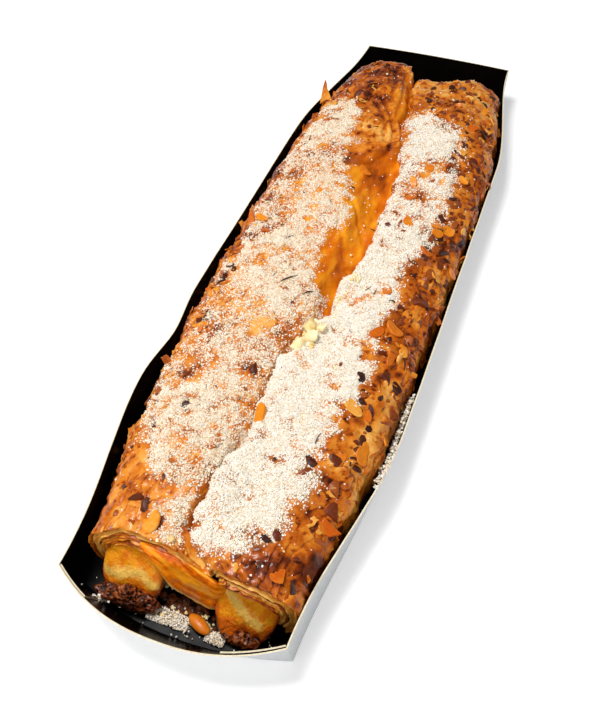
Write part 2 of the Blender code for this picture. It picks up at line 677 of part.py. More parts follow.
def make_consistent(made):
    """Faces turned outwards."""
    bpy.ops.object.select_all(action="DESELECT")
    made.select_set(True)
    bpy.context.view_layer.objects.active = made
    bpy.ops.object.mode_set(mode="EDIT")
    bpy.ops.mesh.select_all(action="SELECT")
    bpy.ops.mesh.normals_make_consistent(inside=False)
    bpy.ops.object.mode_set(mode="OBJECT")


def combine(target, collection, operation):
    """One Boolean of the target with every object of a collection, applied; the collection's objects then go."""
    for other in collection.objects:
        make_consistent(other)
    make_consistent(target)
    boolean = target.modifiers.new(operation.lower(), "BOOLEAN")
    boolean.operation = operation
    boolean.operand_type = "COLLECTION"
    boolean.collection = collection
    boolean.solver = "EXACT"
    bpy.context.view_layer.objects.active = target
    bpy.ops.object.modifier_apply(modifier=boolean.name)
    for other in list(collection.objects):
        bpy.data.objects.remove(other)
    bpy.data.collections.remove(collection)


def new_collection(name):
    """Collection linked to the scene."""
    made = bpy.data.collections.new(name)
    bpy.context.scene.collection.children.link(made)
    return made


def build_dough():
    """Body with its channels cut and everything baked on to it joined in."""
    crust = material("pastry_crust", (0.62, 0.27, 0.07), 0.35)
    body = build_body(crust)
    cuts = new_collection("channels")
    channel("left_channel", LEFT_RUN, LEFT_ENDS[1], cuts)
    channel("right_channel", RIGHT_RUN, RIGHT_ENDS[1], cuts)
    combine(body, cuts, "DIFFERENCE")
    toppings = new_collection("toppings")
    scatter_toppings(toppings)
    rim_spike(toppings)
    front_strip(toppings)
    combine(body, toppings, "UNION")
    return body


# ---------------------------------------------------------------- loose pieces


WAVES = 6  # ripples over a lump
LUMP_FOOT = 0.55  # a lump is cut flat this far below its middle, in half-heights


def lump(name, place, sizes, turn_degrees, finish, roughness, seed, subdivisions=3):
    """Uneven lump that rests on the tray's floor."""
    draw = random.Random(seed)
    waves = []
    for _ in range(WAVES):
        direction = Vector((draw.uniform(-1, 1) for _ in range(3))).normalized()
        waves.append((draw.uniform(1.5, 4.0), draw.uniform(0, math.tau), direction))
    bpy.ops.mesh.primitive_ico_sphere_add(subdivisions=subdivisions, radius=1.0)
    made = bpy.context.active_object
    made.name = made.data.name = name
    turn = Matrix.Rotation(math.radians(turn_degrees), 3, "Z")
    for vertex in made.data.vertices:
        p = vertex.co.copy()
        swell = 1 + roughness * sum(math.sin(f * 2 * d.dot(p) + s) for f, s, d in waves) / WAVES
        height = sizes[2] / (1 + LUMP_FOOT)
        p = Vector((p.x * sizes[0], p.y * sizes[1], max(p.z, -LUMP_FOOT) * height)) * swell
        p = turn @ p
        p += Vector((place[0], place[1], DOUGH_BASE + height * LUMP_FOOT))
        p.z = max(p.z, DOUGH_BASE)
        p.y = max(p.y, front_wall_inside(p.x, p.z) + FRONT_ROOM)
        vertex.co = p * MM
    made.data.materials.append(finish)
    return made


def build_loose_pieces():
    """Two burnt leaks of custard and the loose almond, on the card at the front."""
    burnt = material("burnt_custard", (0.16, 0.05, 0.02), 0.55)
    lump("leaked_custard_left", *LEFT_LEAK, 6.0, burnt, 0.16, 3)
    lump("leaked_custard_right", *RIGHT_LEAK, 0.0, burnt, 0.16, 5)
    almond = material("almond", (0.55, 0.22, 0.06), 0.4)
    place, sizes, turn = ALMOND
    lump("loose_almond", place, (sizes[0], sizes[1], sizes[2] * 2), turn, almond, 0.05, 9, 2)


def main():
    """Clears the scene and builds every piece."""
    for old in list(bpy.data.objects):
        bpy.data.objects.remove(old)
    build_tray()
    build_dough()
    custard = material("custard", (0.85, 0.55, 0.10), 0.4)
    build_custard("custard_left", LEFT_RUN, LEFT_ENDS, custard)
    build_custard("custard_right", RIGHT_RUN, RIGHT_ENDS, custard)
    build_loose_pieces()


main()
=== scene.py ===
"""Danish pastry bar in its folded card tray: how it looks.

Two flaps of laminated dough are folded over two runs of custard. They meet along a groove that gapes in the
middle. Nuts, almond slices and sugar lie baked on and strewn over the crust; the open front end shows the
layers, a ridged strip of inner dough, and custard that has leaked and burnt on the card.

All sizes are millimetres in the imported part's frame, +X right, +Y back, +Z up, unless a name says otherwise.
"""

from __future__ import annotations

import itertools
import logging
import math
from dataclasses import dataclass, field
from enum import Enum
from typing import Callable

import bpy
import numpy as np
from mathutils import Matrix, Vector
from mathutils.bvhtree import BVHTree


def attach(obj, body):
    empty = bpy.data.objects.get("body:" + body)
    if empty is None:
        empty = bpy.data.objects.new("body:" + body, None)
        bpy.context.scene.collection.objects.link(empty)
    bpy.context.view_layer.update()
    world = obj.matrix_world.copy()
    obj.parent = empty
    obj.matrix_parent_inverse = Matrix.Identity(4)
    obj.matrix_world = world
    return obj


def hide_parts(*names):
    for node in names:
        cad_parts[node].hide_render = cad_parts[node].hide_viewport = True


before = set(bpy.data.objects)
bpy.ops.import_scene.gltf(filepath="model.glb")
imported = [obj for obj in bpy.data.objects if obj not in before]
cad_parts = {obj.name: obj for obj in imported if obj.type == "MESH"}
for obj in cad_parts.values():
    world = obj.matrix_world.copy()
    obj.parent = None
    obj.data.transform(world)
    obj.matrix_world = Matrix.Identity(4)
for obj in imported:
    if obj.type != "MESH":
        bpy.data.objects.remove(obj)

MM = 0.001
BODY = "root"
TOPPING_SEED = 7
Array = np.ndarray
Piece = bpy.types.Object
Random = np.random.Generator
Colour = tuple[float, float, float, float]
Pair = tuple[float, float]
Triple = tuple[float, float, float]
Path = tuple[Pair, ...]
Table = tuple[Pair, ...]
Rows = tuple[tuple[float, ...], ...]

log = logging.getLogger("pastry_bar")


def srgb(red: int, green: int, blue: int) -> Colour:
    """Linear colour of display values from 0 to 255."""
    shares = [value / 255.0 for value in (red, green, blue)]
    return *(s / 12.92 if s <= 0.04045 else ((s + 0.055) / 1.055) ** 2.4 for s in shares), 1.0


# ---- numbers over whole arrays


def along(table: Table, y: Array) -> Array:
    """Smooth curve through a table of (place, value).

    Args:
        table: Places in rising order, with the value at each.
        y: Places to read.

    Returns:
        The curve's values at y.
    """
    places = np.array([p[0] for p in table], float)
    values = np.array([p[1] for p in table], float)
    y = np.clip(y, places[0], places[-1])
    i = np.clip(np.searchsorted(places, y, side="right") - 1, 0, len(places) - 2)
    steps = np.diff(values) / np.diff(places)
    before, after = steps[:-1], steps[1:]
    agree = before * after > 0
    inner = np.where(agree, 2 * before * after / np.where(agree, before + after, 1.0), 0.0)
    slopes = np.concatenate([[0.0], inner, [0.0]])
    span = places[i + 1] - places[i]
    t = (y - places[i]) / span
    return (
        values[i] * (1 + 2 * t) * (1 - t) ** 2
        + values[i + 1] * t * t * (3 - 2 * t)
        + slopes[i] * span * t * (1 - t) ** 2
        - slopes[i + 1] * span * t * t * (1 - t)
    )


def ease(t: Array) -> Array:
    """Smooth step from 0 to 1."""
    t = np.clip(t, 0.0, 1.0)
    return t * t * (3 - 2 * t)


def hump(x: Array, centre: float, reach: float) -> Array:
    """Bell curve of height 1."""
    return np.exp(-(((x - centre) / reach) ** 2))


def dab(x: Array, y: Array, middle: Pair, reach: Pair) -> Array:
    """Bell over the plan, of height 1."""
    return np.exp(-(((x - middle[0]) / reach[0]) ** 2) - ((y - middle[1]) / reach[1]) ** 2)


def scramble(*whole: Array, seed: int) -> Array:
    """Repeatable random values from 0 to 1 for whole numbers.

    Args:
        whole: Arrays of whole numbers, one for each direction.
        seed: Picks another set of values.

    Returns:
        One value for each place.
    """
    factors = (73856093, 19349663, 83492791)
    mixed = np.full(whole[0].shape, seed * 668265263, np.int64)
    for number, factor in zip(whole, factors):
        mixed = mixed ^ (number.astype(np.int64) * factor)
    mixed = (mixed ^ (mixed >> 13)) & 0x7FFFFFFF
    mixed = (mixed * 1274126177) & 0x7FFFFFFF
    mixed = (mixed ^ (mixed >> 15)) & 0x7FFFFFFF
    mixed = (mixed * 69069 + 12345) & 0x7FFFFFFF
    return mixed / 0x7FFFFFFF


def rough(points: Array, size: float, seed: int, octaves: int = 1) -> Array:
    """Smooth noise between -1 and 1.

    Args:
        points: Places, with x, y and z last.
        size: Width of the noise's features.
        seed: Picks another pattern.
        octaves: Finer layers, each half as wide and half as high.

    Returns:
        The noise at each place.
    """
    total = np.zeros(points.shape[:-1])
    height = 1.0
    for octave in range(octaves):
        cell = points / (size / 2**octave)
        base = np.floor(cell)
        t = cell - base
        t = t * t * (3 - 2 * t)
        base = base.astype(np.int64)
        for corner in range(8):
            dx, dy, dz = corner & 1, corner >> 1 & 1, corner >> 2
            weight = (
                (t[..., 0] if dx else 1 - t[..., 0])
                * (t[..., 1] if dy else 1 - t[..., 1])
                * (t[..., 2] if dz else 1 - t[..., 2])
            )
            value = scramble(base[..., 0] + dx, base[..., 1] + dy, base[..., 2] + dz, seed=seed + octave)
            total += height * weight * (2 * value - 1)
        height *= 0.5
    return total


def layered(points: Array, *layers: tuple[float, float, int, int]) -> Array:
    """Sum of noises, each with its height, size, seed and octaves."""
    return sum(height * rough(points, size, seed, octaves) for height, size, seed, octaves in layers)


def spots(places: Array, size: float, seed: int) -> tuple[Array, Array]:
    """Nearest of many scattered spots, one in each square or cube.

    Args:
        places: Places with two or three directions last.
        size: Side of a square or cube.
        seed: Picks another scatter.

    Returns:
        The distance to the nearest spot in squares, and that spot's own random number.
    """
    directions = places.shape[-1]
    cell = places / size
    base = np.floor(cell).astype(np.int64)
    nearest, own = np.full(places.shape[:-1], 9.0), np.zeros(places.shape[:-1])
    for step in itertools.product((-1, 0, 1), repeat=directions):
        square = [base[..., k] + step[k] for k in range(directions)]
        away = sum(
            (cell[..., k] - square[k] - scramble(*square, seed=seed + 3 * k)) ** 2 for k in range(directions)
        )
        distance = np.sqrt(away)
        own = np.where(distance < nearest, scramble(*square, seed=seed + 13), own)
        nearest = np.minimum(nearest, distance)
    return nearest, own


def line_distance(x: Array, y: Array, path: Path) -> Array:
    """Distance from each place to a path of straight stretches.

    Args:
        x: Places across.
        y: Places along.
        path: Corners of the path.

    Returns:
        The distance from each place.
    """
    nearest = np.full(np.shape(x), 1e9)
    for (ax, ay), (bx, by) in zip(path, path[1:]):
        length = (bx - ax) ** 2 + (by - ay) ** 2
        t = np.clip(((x - ax) * (bx - ax) + (y - ay) * (by - ay)) / length, 0, 1)
        nearest = np.minimum(nearest, np.hypot(x - ax - t * (bx - ax), y - ay - t * (by - ay)))
    return nearest


def inside_outline(x: Array, y: Array, outline: Path) -> Array:
    """Distance into an outline, negative outside it.

    Args:
        x: Places across.
        y: Places along.
        outline: Corners of the outline, either way round.

    Returns:
        The distance from each place to the outline.
    """
    closed = outline + outline[:1]
    crossings = np.zeros(np.shape(x), int)
    for (ax, ay), (bx, by) in zip(closed, closed[1:]):
        spans = (ay > y) != (by > y)
        crossings += spans & (x < ax + (y - ay) / ((by - ay) or 1e-9) * (bx - ax))
    away = line_distance(x, y, closed)
    return np.where(crossings % 2 == 1, away, -away)


def normals_of(points: Array) -> Array:
    """Unit normals of a grid of points, rows along the bar and columns across it.

    Args:
        points: The grid.

    Returns:
        One normal for each place.
    """
    across = np.gradient(points, axis=1)
    ahead = np.gradient(points, axis=0)
    normal = np.cross(across, ahead)
    return normal / np.maximum(np.linalg.norm(normal, axis=-1, keepdims=True), 1e-9)


def turns(angles: Array) -> Array:
    """Rotation matrices for rows of (roll, pitch, yaw).

    Args:
        angles: Three angles in radians for each row.

    Returns:
        One matrix for each row.
    """
    (cr, cp, cy), (sr, sp, sy) = np.cos(angles).T, np.sin(angles).T
    return np.stack(
        [
            np.stack([cy * cp, cy * sp * sr - sy * cr, cy * sp * cr + sy * sr], -1),
            np.stack([sy * cp, sy * sp * sr + cy * cr, sy * sp * cr - cy * sr], -1),
            np.stack([-sp, cp * sr, cp * cr], -1),
        ],
        -2,
    )


def standing_on(normals: Array) -> Array:
    """Matrices that turn +Z on to each normal."""
    helper = np.where(np.abs(normals[:, 1:2]) < 0.9, [[0.0, 1.0, 0.0]], [[1.0, 0.0, 0.0]])
    side = np.cross(helper, normals)
    side /= np.linalg.norm(side, axis=1, keepdims=True)
    ahead = np.cross(normals, side)
    return np.stack([side, ahead, normals], -1)


# ---- meshes


def deselect_all() -> None:
    """Leaves nothing selected."""
    bpy.ops.object.select_all(action="DESELECT")


def activate(piece: Piece) -> None:
    """Selects one object alone and makes it the active one."""
    deselect_all()
    piece.select_set(True)
    bpy.context.view_layer.objects.active = piece


def named(name: str) -> Piece:
    """Names the active object and its mesh.

    Args:
        name: The piece's name.

    Returns:
        The active object.
    """
    piece = bpy.context.active_object
    piece.name = piece.data.name = name
    return piece


def paint(piece: Piece, **layers: Array) -> None:
    """Writes one value for each vertex into named attributes of a piece.

    Args:
        piece: The piece.
        layers: Values by attribute name.
    """
    for name, values in layers.items():
        attribute = piece.data.attributes.new(name, "FLOAT", "POINT")
        attribute.data.foreach_set("value", np.asarray(values, np.float32).reshape(-1))


def read_points(mesh: bpy.types.Mesh) -> Array:
    """Places of a mesh's points, in the mesh's own units."""
    flat = np.zeros(len(mesh.vertices) * 3, np.float32)
    mesh.vertices.foreach_get("co", flat)
    return flat.reshape(-1, 3).astype(float)


def move_points(piece: Piece, points: Array) -> None:
    """Moves a piece's points to places in millimetres."""
    piece.data.vertices.foreach_set("co", (points * MM).astype(np.float32).reshape(-1))


def grid_piece(name: str, points: Array, **layers: Array) -> Piece:
    """Sheet bent from a flat grid.

    Args:
        name: The piece's name.
        points: Rows of columns of places.
        layers: Values for each point, kept as attributes.

    Returns:
        The new object.
    """
    rows, columns = points.shape[:2]
    deselect_all()
    bpy.ops.mesh.primitive_grid_add(x_subdivisions=columns - 1, y_subdivisions=rows - 1, size=1.0)
    piece = named(name)
    move_points(piece, points)
    paint(piece, **layers)
    return piece


def weld(piece: Piece, distance: float = 0.002) -> None:
    """Merges points that lie together and turns every face outwards."""
    activate(piece)
    bpy.ops.object.mode_set(mode="EDIT")
    bpy.ops.mesh.select_all(action="SELECT")
    bpy.ops.mesh.remove_doubles(threshold=distance * MM)
    bpy.ops.mesh.dissolve_degenerate(threshold=distance * MM * 0.1)
    bpy.ops.mesh.normals_make_consistent(inside=False)
    bpy.ops.object.mode_set(mode="OBJECT")


def wrapped(values: Array, first: Array, last: Array) -> Array:
    """Rings of values between a first and a last one, with the first column again at the end."""
    rings = np.concatenate([first, values, last])
    return np.concatenate([rings, rings[:, :1]], axis=1)


def tube_piece(name: str, points: Array, ends: tuple[Array, Array], **layers: Array) -> Piece:
    """Closed body over rings of points.

    Args:
        name: The piece's name.
        points: Rings along the body, each a row of columns.
        ends: The point that closes the first ring, and the one that closes the last.
        layers: Values for each point of the rings.

    Returns:
        The new object, closed and welded.
    """
    first, last = (np.broadcast_to(np.asarray(end, float), (1, points.shape[1], 3)) for end in ends)
    around = {key: wrapped(values, values[:1], values[-1:]) for key, values in layers.items()}
    piece = grid_piece(name, wrapped(points, first, last), **around)
    weld(piece)
    return piece


def apply_modifier(piece: Piece, kind: str, **settings: object) -> None:
    """Adds a modifier with its settings and applies it."""
    activate(piece)
    modifier = piece.modifiers.new(kind.lower(), kind)
    for key, value in settings.items():
        setattr(modifier, key, value)
    bpy.ops.object.modifier_apply(modifier=modifier.name)


def shade_smooth(piece: Piece, angle_degrees: float | None = None) -> None:
    """Smooth shading, all over or up to an angle between faces."""
    activate(piece)
    if angle_degrees is None:
        bpy.ops.object.shade_smooth()
    else:
        bpy.ops.object.shade_smooth_by_angle(angle=math.radians(angle_degrees))


def card_piece(
    name: str, points: Array, thick: float, angle: float, offset: float = 0.0, **layers: Array
) -> Piece:
    """Sheet with a thickness.

    Args:
        name: The piece's name.
        points: Rows of columns of places.
        thick: The sheet's thickness.
        angle: Greatest angle in degrees that is shaded smooth.
        offset: 0 for a thickness to both sides of the grid, 1 for one above it.
        layers: Values for each point.

    Returns:
        The new object, closed and welded.
    """
    piece = grid_piece(name, points, **layers)
    apply_modifier(piece, "SOLIDIFY", thickness=thick * MM, offset=offset)
    weld(piece)
    shade_smooth(piece, angle)
    return piece


@dataclass
class Model:
    """Small shape that is modelled once and copied many times."""

    points: Array
    faces: list[tuple[int, ...]]

    @classmethod
    def of(cls, piece: Piece) -> "Model":
        """Model taken from an object, which is then removed."""
        mesh = piece.data
        model = cls(read_points(mesh), [tuple(face.vertices) for face in mesh.polygons])
        bpy.data.objects.remove(piece)
        bpy.data.meshes.remove(mesh)
        return model


@dataclass
class Scatter:
    """Copies of a few models, joined into one piece and held inside the part's box."""

    models: list[Model]
    points: list[Array] = field(default_factory=list)
    faces: list[Array] = field(default_factory=list)
    shades: list[Array] = field(default_factory=list)
    count: int = 0
    widest: float = 60.9
    lowest: float = 0.75

    def add(self, kind: int, places: Array, frames: Array, sizes: Array, shades: Array) -> None:
        """Adds copies of one model.

        Args:
            kind: Which model.
            places: Where each copy goes.
            frames: Each copy's rotation matrix.
            sizes: Each copy's size along its own x, y and z.
            shades: A number for each copy, kept as the attribute shade.
        """
        model = self.models[kind]
        local = model.points[None] * sizes[:, None, :]
        placed = np.einsum("nij,nkj->nki", frames, local) + places[:, None, :]
        corners = len(model.points)
        starts = self.count + np.arange(len(places)) * corners
        self.points.append(placed.reshape(-1, 3))
        for face in model.faces:
            self.faces.append(starts[:, None] + np.array(face)[None])
        self.shades.append(np.repeat(shades, corners))
        self.count += len(places) * corners

    def piece(self, name: str, attribute: str = "shade") -> Piece:
        """Joins all copies into one object, with their numbers as the named attribute.

        Args:
            name: The piece's name.
            attribute: The name that its shader reads.

        Returns:
            The new object.
        """
        mesh = bpy.data.meshes.new(name)
        points = np.concatenate(self.points)
        points[:, 0] = np.clip(points[:, 0], -self.widest, self.widest)
        points[:, 2] = np.maximum(points[:, 2], self.lowest)
        points *= MM
        faces = [row for block in self.faces for row in block.tolist()]
        mesh.from_pydata(points.tolist(), [], faces)
        made = bpy.data.objects.new(name, mesh)
        bpy.context.scene.collection.objects.link(made)
        paint(made, **{attribute: np.concatenate(self.shades)})
        return made


# ---- shader nodes


class Wire:
    """Output of a node that grows Math nodes when it is used in an expression."""

    def __init__(self, bench: "Bench", socket: bpy.types.NodeSocket) -> None:
        """Keeps the socket and the bench it belongs to."""
        self.bench = bench
        self.socket = socket

    def _math(self, operation: str, first: object, second: object = 0.0) -> "Wire":
        """One Math node."""
        return self.bench.add("ShaderNodeMath", {"operation": operation}, {0: first, 1: second})

    def __add__(self, other: object) -> "Wire":
        """Sum."""
        return self._math("ADD", self, other)

    __radd__ = __add__

    def __sub__(self, other: object) -> "Wire":
        """Difference."""
        return self._math("SUBTRACT", self, other)

    def __rsub__(self, other: object) -> "Wire":
        """Difference the other way round."""
        return self._math("SUBTRACT", other, self)

    def __mul__(self, other: object) -> "Wire":
        """Product."""
        return self._math("MULTIPLY", self, other)

    __rmul__ = __mul__

    def above(self, start: float, end: float) -> "Wire":
        """Smooth step from 0 at start to 1 at end."""
        settings = {"interpolation_type": "SMOOTHSTEP"}
        return self.bench.add("ShaderNodeMapRange", settings, {0: self, 1: start, 2: end})

    def at_least(self, other: object) -> "Wire":
        """The larger of two values."""
        return self._math("MAXIMUM", self, other)


class Bench:
    """Node tree of one material, with its Principled shader."""

    # A Mix node's colour sockets
    COLOURS = 6, 7
    MIXED_COLOUR = 2

    def __init__(self, name: str) -> None:
        """Makes the material with its Principled shader alone."""
        self.material = bpy.data.materials.new(name)
        self.material.use_nodes = True
        self.tree = self.material.node_tree
        self.shader = self.tree.nodes["Principled BSDF"]

    def add(self, kind: str, settings: dict | None = None, inputs: dict | None = None) -> Wire:
        """Adds one node.

        Args:
            kind: The node's type.
            settings: Its properties, set first; stops are a ramp's (place, colour) pairs, out is the
                name or number of the output that is wanted.
            inputs: Values or wires for its sockets, by name or number.

        Returns:
            The wanted output.
        """
        node = self.tree.nodes.new(kind)
        settings = dict(settings or {})
        out = settings.pop("out", 0)
        stops = settings.pop("stops", None)
        for key, value in settings.items():
            setattr(node, key, value)
        if stops:
            ramp = node.color_ramp
            while len(ramp.elements) < len(stops):
                ramp.elements.new(0.5)
            for element, (place, colour) in zip(ramp.elements, stops):
                element.position = place
                element.color = colour
        for key, value in (inputs or {}).items():
            self.feed(node.inputs[key], value)
        return Wire(self, node.outputs[out])

    def feed(self, socket: bpy.types.NodeSocket, value: object) -> None:
        """Links a wire to a socket, or sets the socket's value."""
        if isinstance(value, Wire):
            self.tree.links.new(value.socket, socket)
        else:
            socket.default_value = value

    def dress(self, **inputs: object) -> None:
        """Feeds the Principled shader, with _ for each space in a socket's name."""
        for key, value in inputs.items():
            self.feed(self.shader.inputs[key.replace("_", " ")], value)

    def place(self) -> Wire:
        """Object coordinates."""
        return self.add("ShaderNodeTexCoord", {"out": "Object"})

    def painted(self, name: str) -> Wire:
        """Value of an attribute."""
        return self.add("ShaderNodeAttribute", {"attribute_name": name, "out": "Fac"})

    def noise(self, size: float, detail: float = 2.0, lean: float = 0.5, stretch: Vector | None = None) -> Wire:
        """Noise from about 0 to 1 on Object coordinates.

        Args:
            size: Width of its features in millimetres.
            detail: Finer layers.
            lean: Strength of the finer layers.
            stretch: Factors on x, y and z, where the pattern isn't alike all ways.

        Returns:
            The noise's value.
        """
        where = self.place()
        if stretch is not None:
            where = self.add("ShaderNodeMapping", {}, {"Vector": where, "Scale": stretch})
        inputs = {"Vector": where, "Scale": 1.0 / (size * MM), "Detail": detail, "Roughness": lean}
        return self.add("ShaderNodeTexNoise", {}, inputs)

    def cells(self, size: float) -> Wire:
        """Distance pattern of scattered cells on Object coordinates, for a size in millimetres."""
        inputs = {"Vector": self.place(), "Scale": 1.0 / (size * MM)}
        return self.add("ShaderNodeTexVoronoi", {"feature": "F1", "out": "Distance"}, inputs)

    def ramp(self, value: Wire, *stops: tuple[float, Colour]) -> Wire:
        """Colour read off a ramp."""
        return self.add("ShaderNodeValToRGB", {"stops": stops}, {"Fac": value})

    def mix(self, first: object, second: object, factor: object) -> Wire:
        """Mix of two colours."""
        settings = {"data_type": "RGBA", "out": self.MIXED_COLOUR}
        return self.add("ShaderNodeMix", settings, {0: factor, self.COLOURS[0]: first, self.COLOURS[1]: second})

    def bump(self, height: Wire, depth: float, strength: float = 1.0, under: Wire | None = None) -> Wire:
        """Normal with a relief of a depth in millimetres, over another one.

        Args:
            height: The relief, from 0 to 1.
            depth: Its depth.
            strength: How much of it shows.
            under: A normal that it is laid over.

        Returns:
            The normal.
        """
        inputs = {"Height": height, "Distance": depth * MM, "Strength": strength}
        if under is not None:
            inputs["Normal"] = under
        return self.add("ShaderNodeBump", {}, inputs)


@dataclass(frozen=True)
class Finish:
    """Base of all finishes: a name and one material, made when it is first asked for."""

    name: str

    def build(self, bench: Bench) -> None:
        """Dresses the shader; each finish has its own.

        Args:
            bench: The material's nodes.
        """
        raise NotImplementedError

    def material(self) -> bpy.types.Material:
        """The finish's material."""
        known = bpy.data.materials.get(self.name)
        if known is not None:
            return known
        bench = Bench(self.name)
        self.build(bench)
        return bench.material


@dataclass(frozen=True)
class CrustFinish(Finish):
    """Glazed, baked laminated dough. Reads how brown, pale, wet and sugared each point is."""

    name: str = "baked_crust"
    cream: Colour = srgb(232, 170, 84)
    golden: Colour = srgb(216, 130, 38)
    amber: Colour = srgb(184, 90, 14)
    chestnut: Colour = srgb(118, 46, 8)
    dark: Colour = srgb(52, 18, 6)
    inner_light: Colour = srgb(244, 162, 28)
    inner_deep: Colour = srgb(204, 102, 4)
    sugar_light: Colour = srgb(244, 234, 212)
    sugar_shade: Colour = srgb(226, 196, 148)
    sugar_tan: Colour = srgb(200, 136, 70)

    def build(self, bench: Bench) -> None:
        """Bake colours, with the painted shade and painted highlight that the brown attribute carries, over
        noise, the glossy inner dough, and a dusting of sugar.
        """
        brown, wet = bench.painted("brown"), bench.painted("wet")
        sugar, inner = bench.painted("sugar"), bench.painted("inner")
        patches, mottle = bench.noise(11.0, 3.0, 0.6), bench.noise(3.2, 4.0, 0.65)
        fine = bench.noise(0.9, 3.0, 0.6)
        tone = brown + (patches - 0.5) * 0.55 + (mottle - 0.5) * 0.6 + (fine - 0.5) * 0.25
        baked = bench.ramp(
            tone, (0.0, self.cream), (0.28, self.golden), (0.5, self.amber), (0.74, self.chestnut),
            (1.0, self.dark),
        )
        streaks = bench.noise(6.0, 3.0, 0.5, Vector((1.0, 0.4, 1.0)))
        glossy = bench.ramp(
            (streaks - 0.5) * 1.6 + 0.5 + (brown - 0.5) * 0.5,
            (0.1, self.inner_light), (0.55, self.inner_deep), (1.0, self.chestnut),
        )
        dough = bench.mix(baked, glossy, inner)
        dust = bench.noise(1.0, 3.0, 0.7)
        gaps = bench.cells(0.85).above(0.28, 0.6)
        film = (sugar + (dust - 0.5) * 0.7).above(0.02, 0.55) * 0.36
        heaped = (sugar * 1.3 + (dust - 0.5) * 1.5 - 0.55).above(0.0, 0.6)
        cover = film.at_least(heaped * (0.96 - gaps * (1.25 - sugar) * 0.7))
        white = bench.noise(0.8, 2.0, 0.6) + (sugar - 0.75) * 0.5 - (gaps - 0.3) * 0.16
        white = white + (patches - 0.5) * 0.5
        grains = bench.ramp(white, (0.2, self.sugar_tan), (0.42, self.sugar_shade), (0.62, self.sugar_light))
        bench.dress(
            Base_Color=bench.mix(dough, grains, cover),
            Roughness=(0.5 - wet * 0.22 + (mottle - 0.5) * 0.3).at_least(cover * 0.6),
            Coat_Weight=(wet * 0.28 + 0.02) * (1.0 - cover),
            Coat_Roughness=0.12, Specular_IOR_Level=0.1, Subsurface_Weight=0.06,
            Subsurface_Radius=(1.0, 0.45, 0.2), Subsurface_Scale=1.5 * MM,
            Normal=bench.bump(
                bench.noise(0.75, 3.0, 0.65) * (0.22 + sugar), 0.3, 0.8, bench.bump(mottle, 0.7, 0.45)
            ),
        )


@dataclass(frozen=True)
class LayerFinish(Finish):
    """Thin sheets of dough at the open end, paler inside and browned at their edges."""

    name: str = "dough_layers"
    pale: Colour = srgb(232, 176, 84)
    tan: Colour = srgb(214, 132, 36)
    toast: Colour = srgb(176, 84, 14)
    burnt: Colour = srgb(92, 32, 8)

    def build(self, bench: Bench) -> None:
        """Colours by each sheet's own tone, with streaks along it."""
        tone = bench.painted("brown") + (bench.noise(2.4, 4.0, 0.6) - 0.5) * 0.7
        bench.dress(
            Base_Color=bench.ramp(
                tone, (0.05, self.pale), (0.38, self.tan), (0.66, self.toast), (1.0, self.burnt)
            ),
            Roughness=0.42, Coat_Weight=0.15, Coat_Roughness=0.2, Specular_IOR_Level=0.16,
            Subsurface_Weight=0.1, Subsurface_Radius=(1.2, 0.6, 0.25), Subsurface_Scale=1.5 * MM,
            Normal=bench.bump(bench.noise(1.0, 3.0, 0.6), 0.2, 0.5),
        )


@dataclass(frozen=True)
class CustardFinish(Finish):
    """Baked custard: grainy cream and yellow, orange where it browned."""

    name: str = "baked_custard"
    amber: Colour = srgb(240, 130, 8)
    yellow: Colour = srgb(255, 162, 16)
    cream: Colour = srgb(255, 202, 96)
    orange: Colour = srgb(224, 104, 4)
    scorched: Colour = srgb(96, 32, 6)

    def build(self, bench: Bench) -> None:
        """Amber and yellow body, a cream band, orange browning and a grainy skin."""
        grain = bench.noise(1.1, 4.0, 0.7)
        cream = (bench.painted("cream") + (grain - 0.5) * 1.6).above(0.3, 0.8)
        orange = (bench.painted("brown") + (bench.noise(3.4, 4.0, 0.65) - 0.5) * 1.6).above(0.35, 0.8)
        scorch = (bench.painted("brown") + (grain - 0.5) * 0.6).above(1.0, 1.6)
        body = bench.mix(self.amber, self.yellow, bench.noise(4.0, 3.0).above(0.35, 0.6))
        creamy = bench.mix(body, self.cream, cream)
        browned = bench.mix(creamy, self.orange, orange)
        bench.dress(
            Base_Color=bench.mix(browned, self.scorched, scorch),
            Roughness=0.34, Coat_Weight=0.15, Coat_Roughness=0.15, Specular_IOR_Level=0.2,
            Subsurface_Weight=0.2, Subsurface_Radius=(1.4, 0.9, 0.3), Subsurface_Scale=2.0 * MM,
            Normal=bench.bump(bench.noise(1.3, 4.0, 0.8), 0.8, 1.3),
        )


@dataclass(frozen=True)
class StripFinish(Finish):
    """Glossy orange inner dough, drawn into strands."""

    name: str = "drawn_dough"
    light: Colour = srgb(254, 168, 34)
    orange: Colour = srgb(242, 122, 4)
    deep: Colour = srgb(190, 76, 2)
    fringe: Colour = srgb(228, 178, 88)

    def build(self, bench: Bench) -> None:
        """Strand colours from the piece's own ridge attribute, lighter on the raised strands as painted
        highlight, pale along the lower edge.
        """
        ridge = bench.painted("ridge")
        # raised strands run towards the light colour: painted highlight
        tone = ridge * 0.6 + bench.noise(2.0, 4.0, 0.6) * 0.7 - 0.15
        strands = bench.ramp(tone, (0.15, self.deep), (0.45, self.orange), (0.85, self.light))
        bench.dress(
            Base_Color=bench.mix(strands, self.fringe, bench.painted("pale")),
            Roughness=0.32, Coat_Weight=0.25, Coat_Roughness=0.12, Specular_IOR_Level=0.2,
            Subsurface_Weight=0.15, Subsurface_Radius=(1.4, 0.6, 0.2), Subsurface_Scale=1.5 * MM,
            Normal=bench.bump(bench.noise(0.9, 3.0, 0.6), 0.3, 0.6),
        )


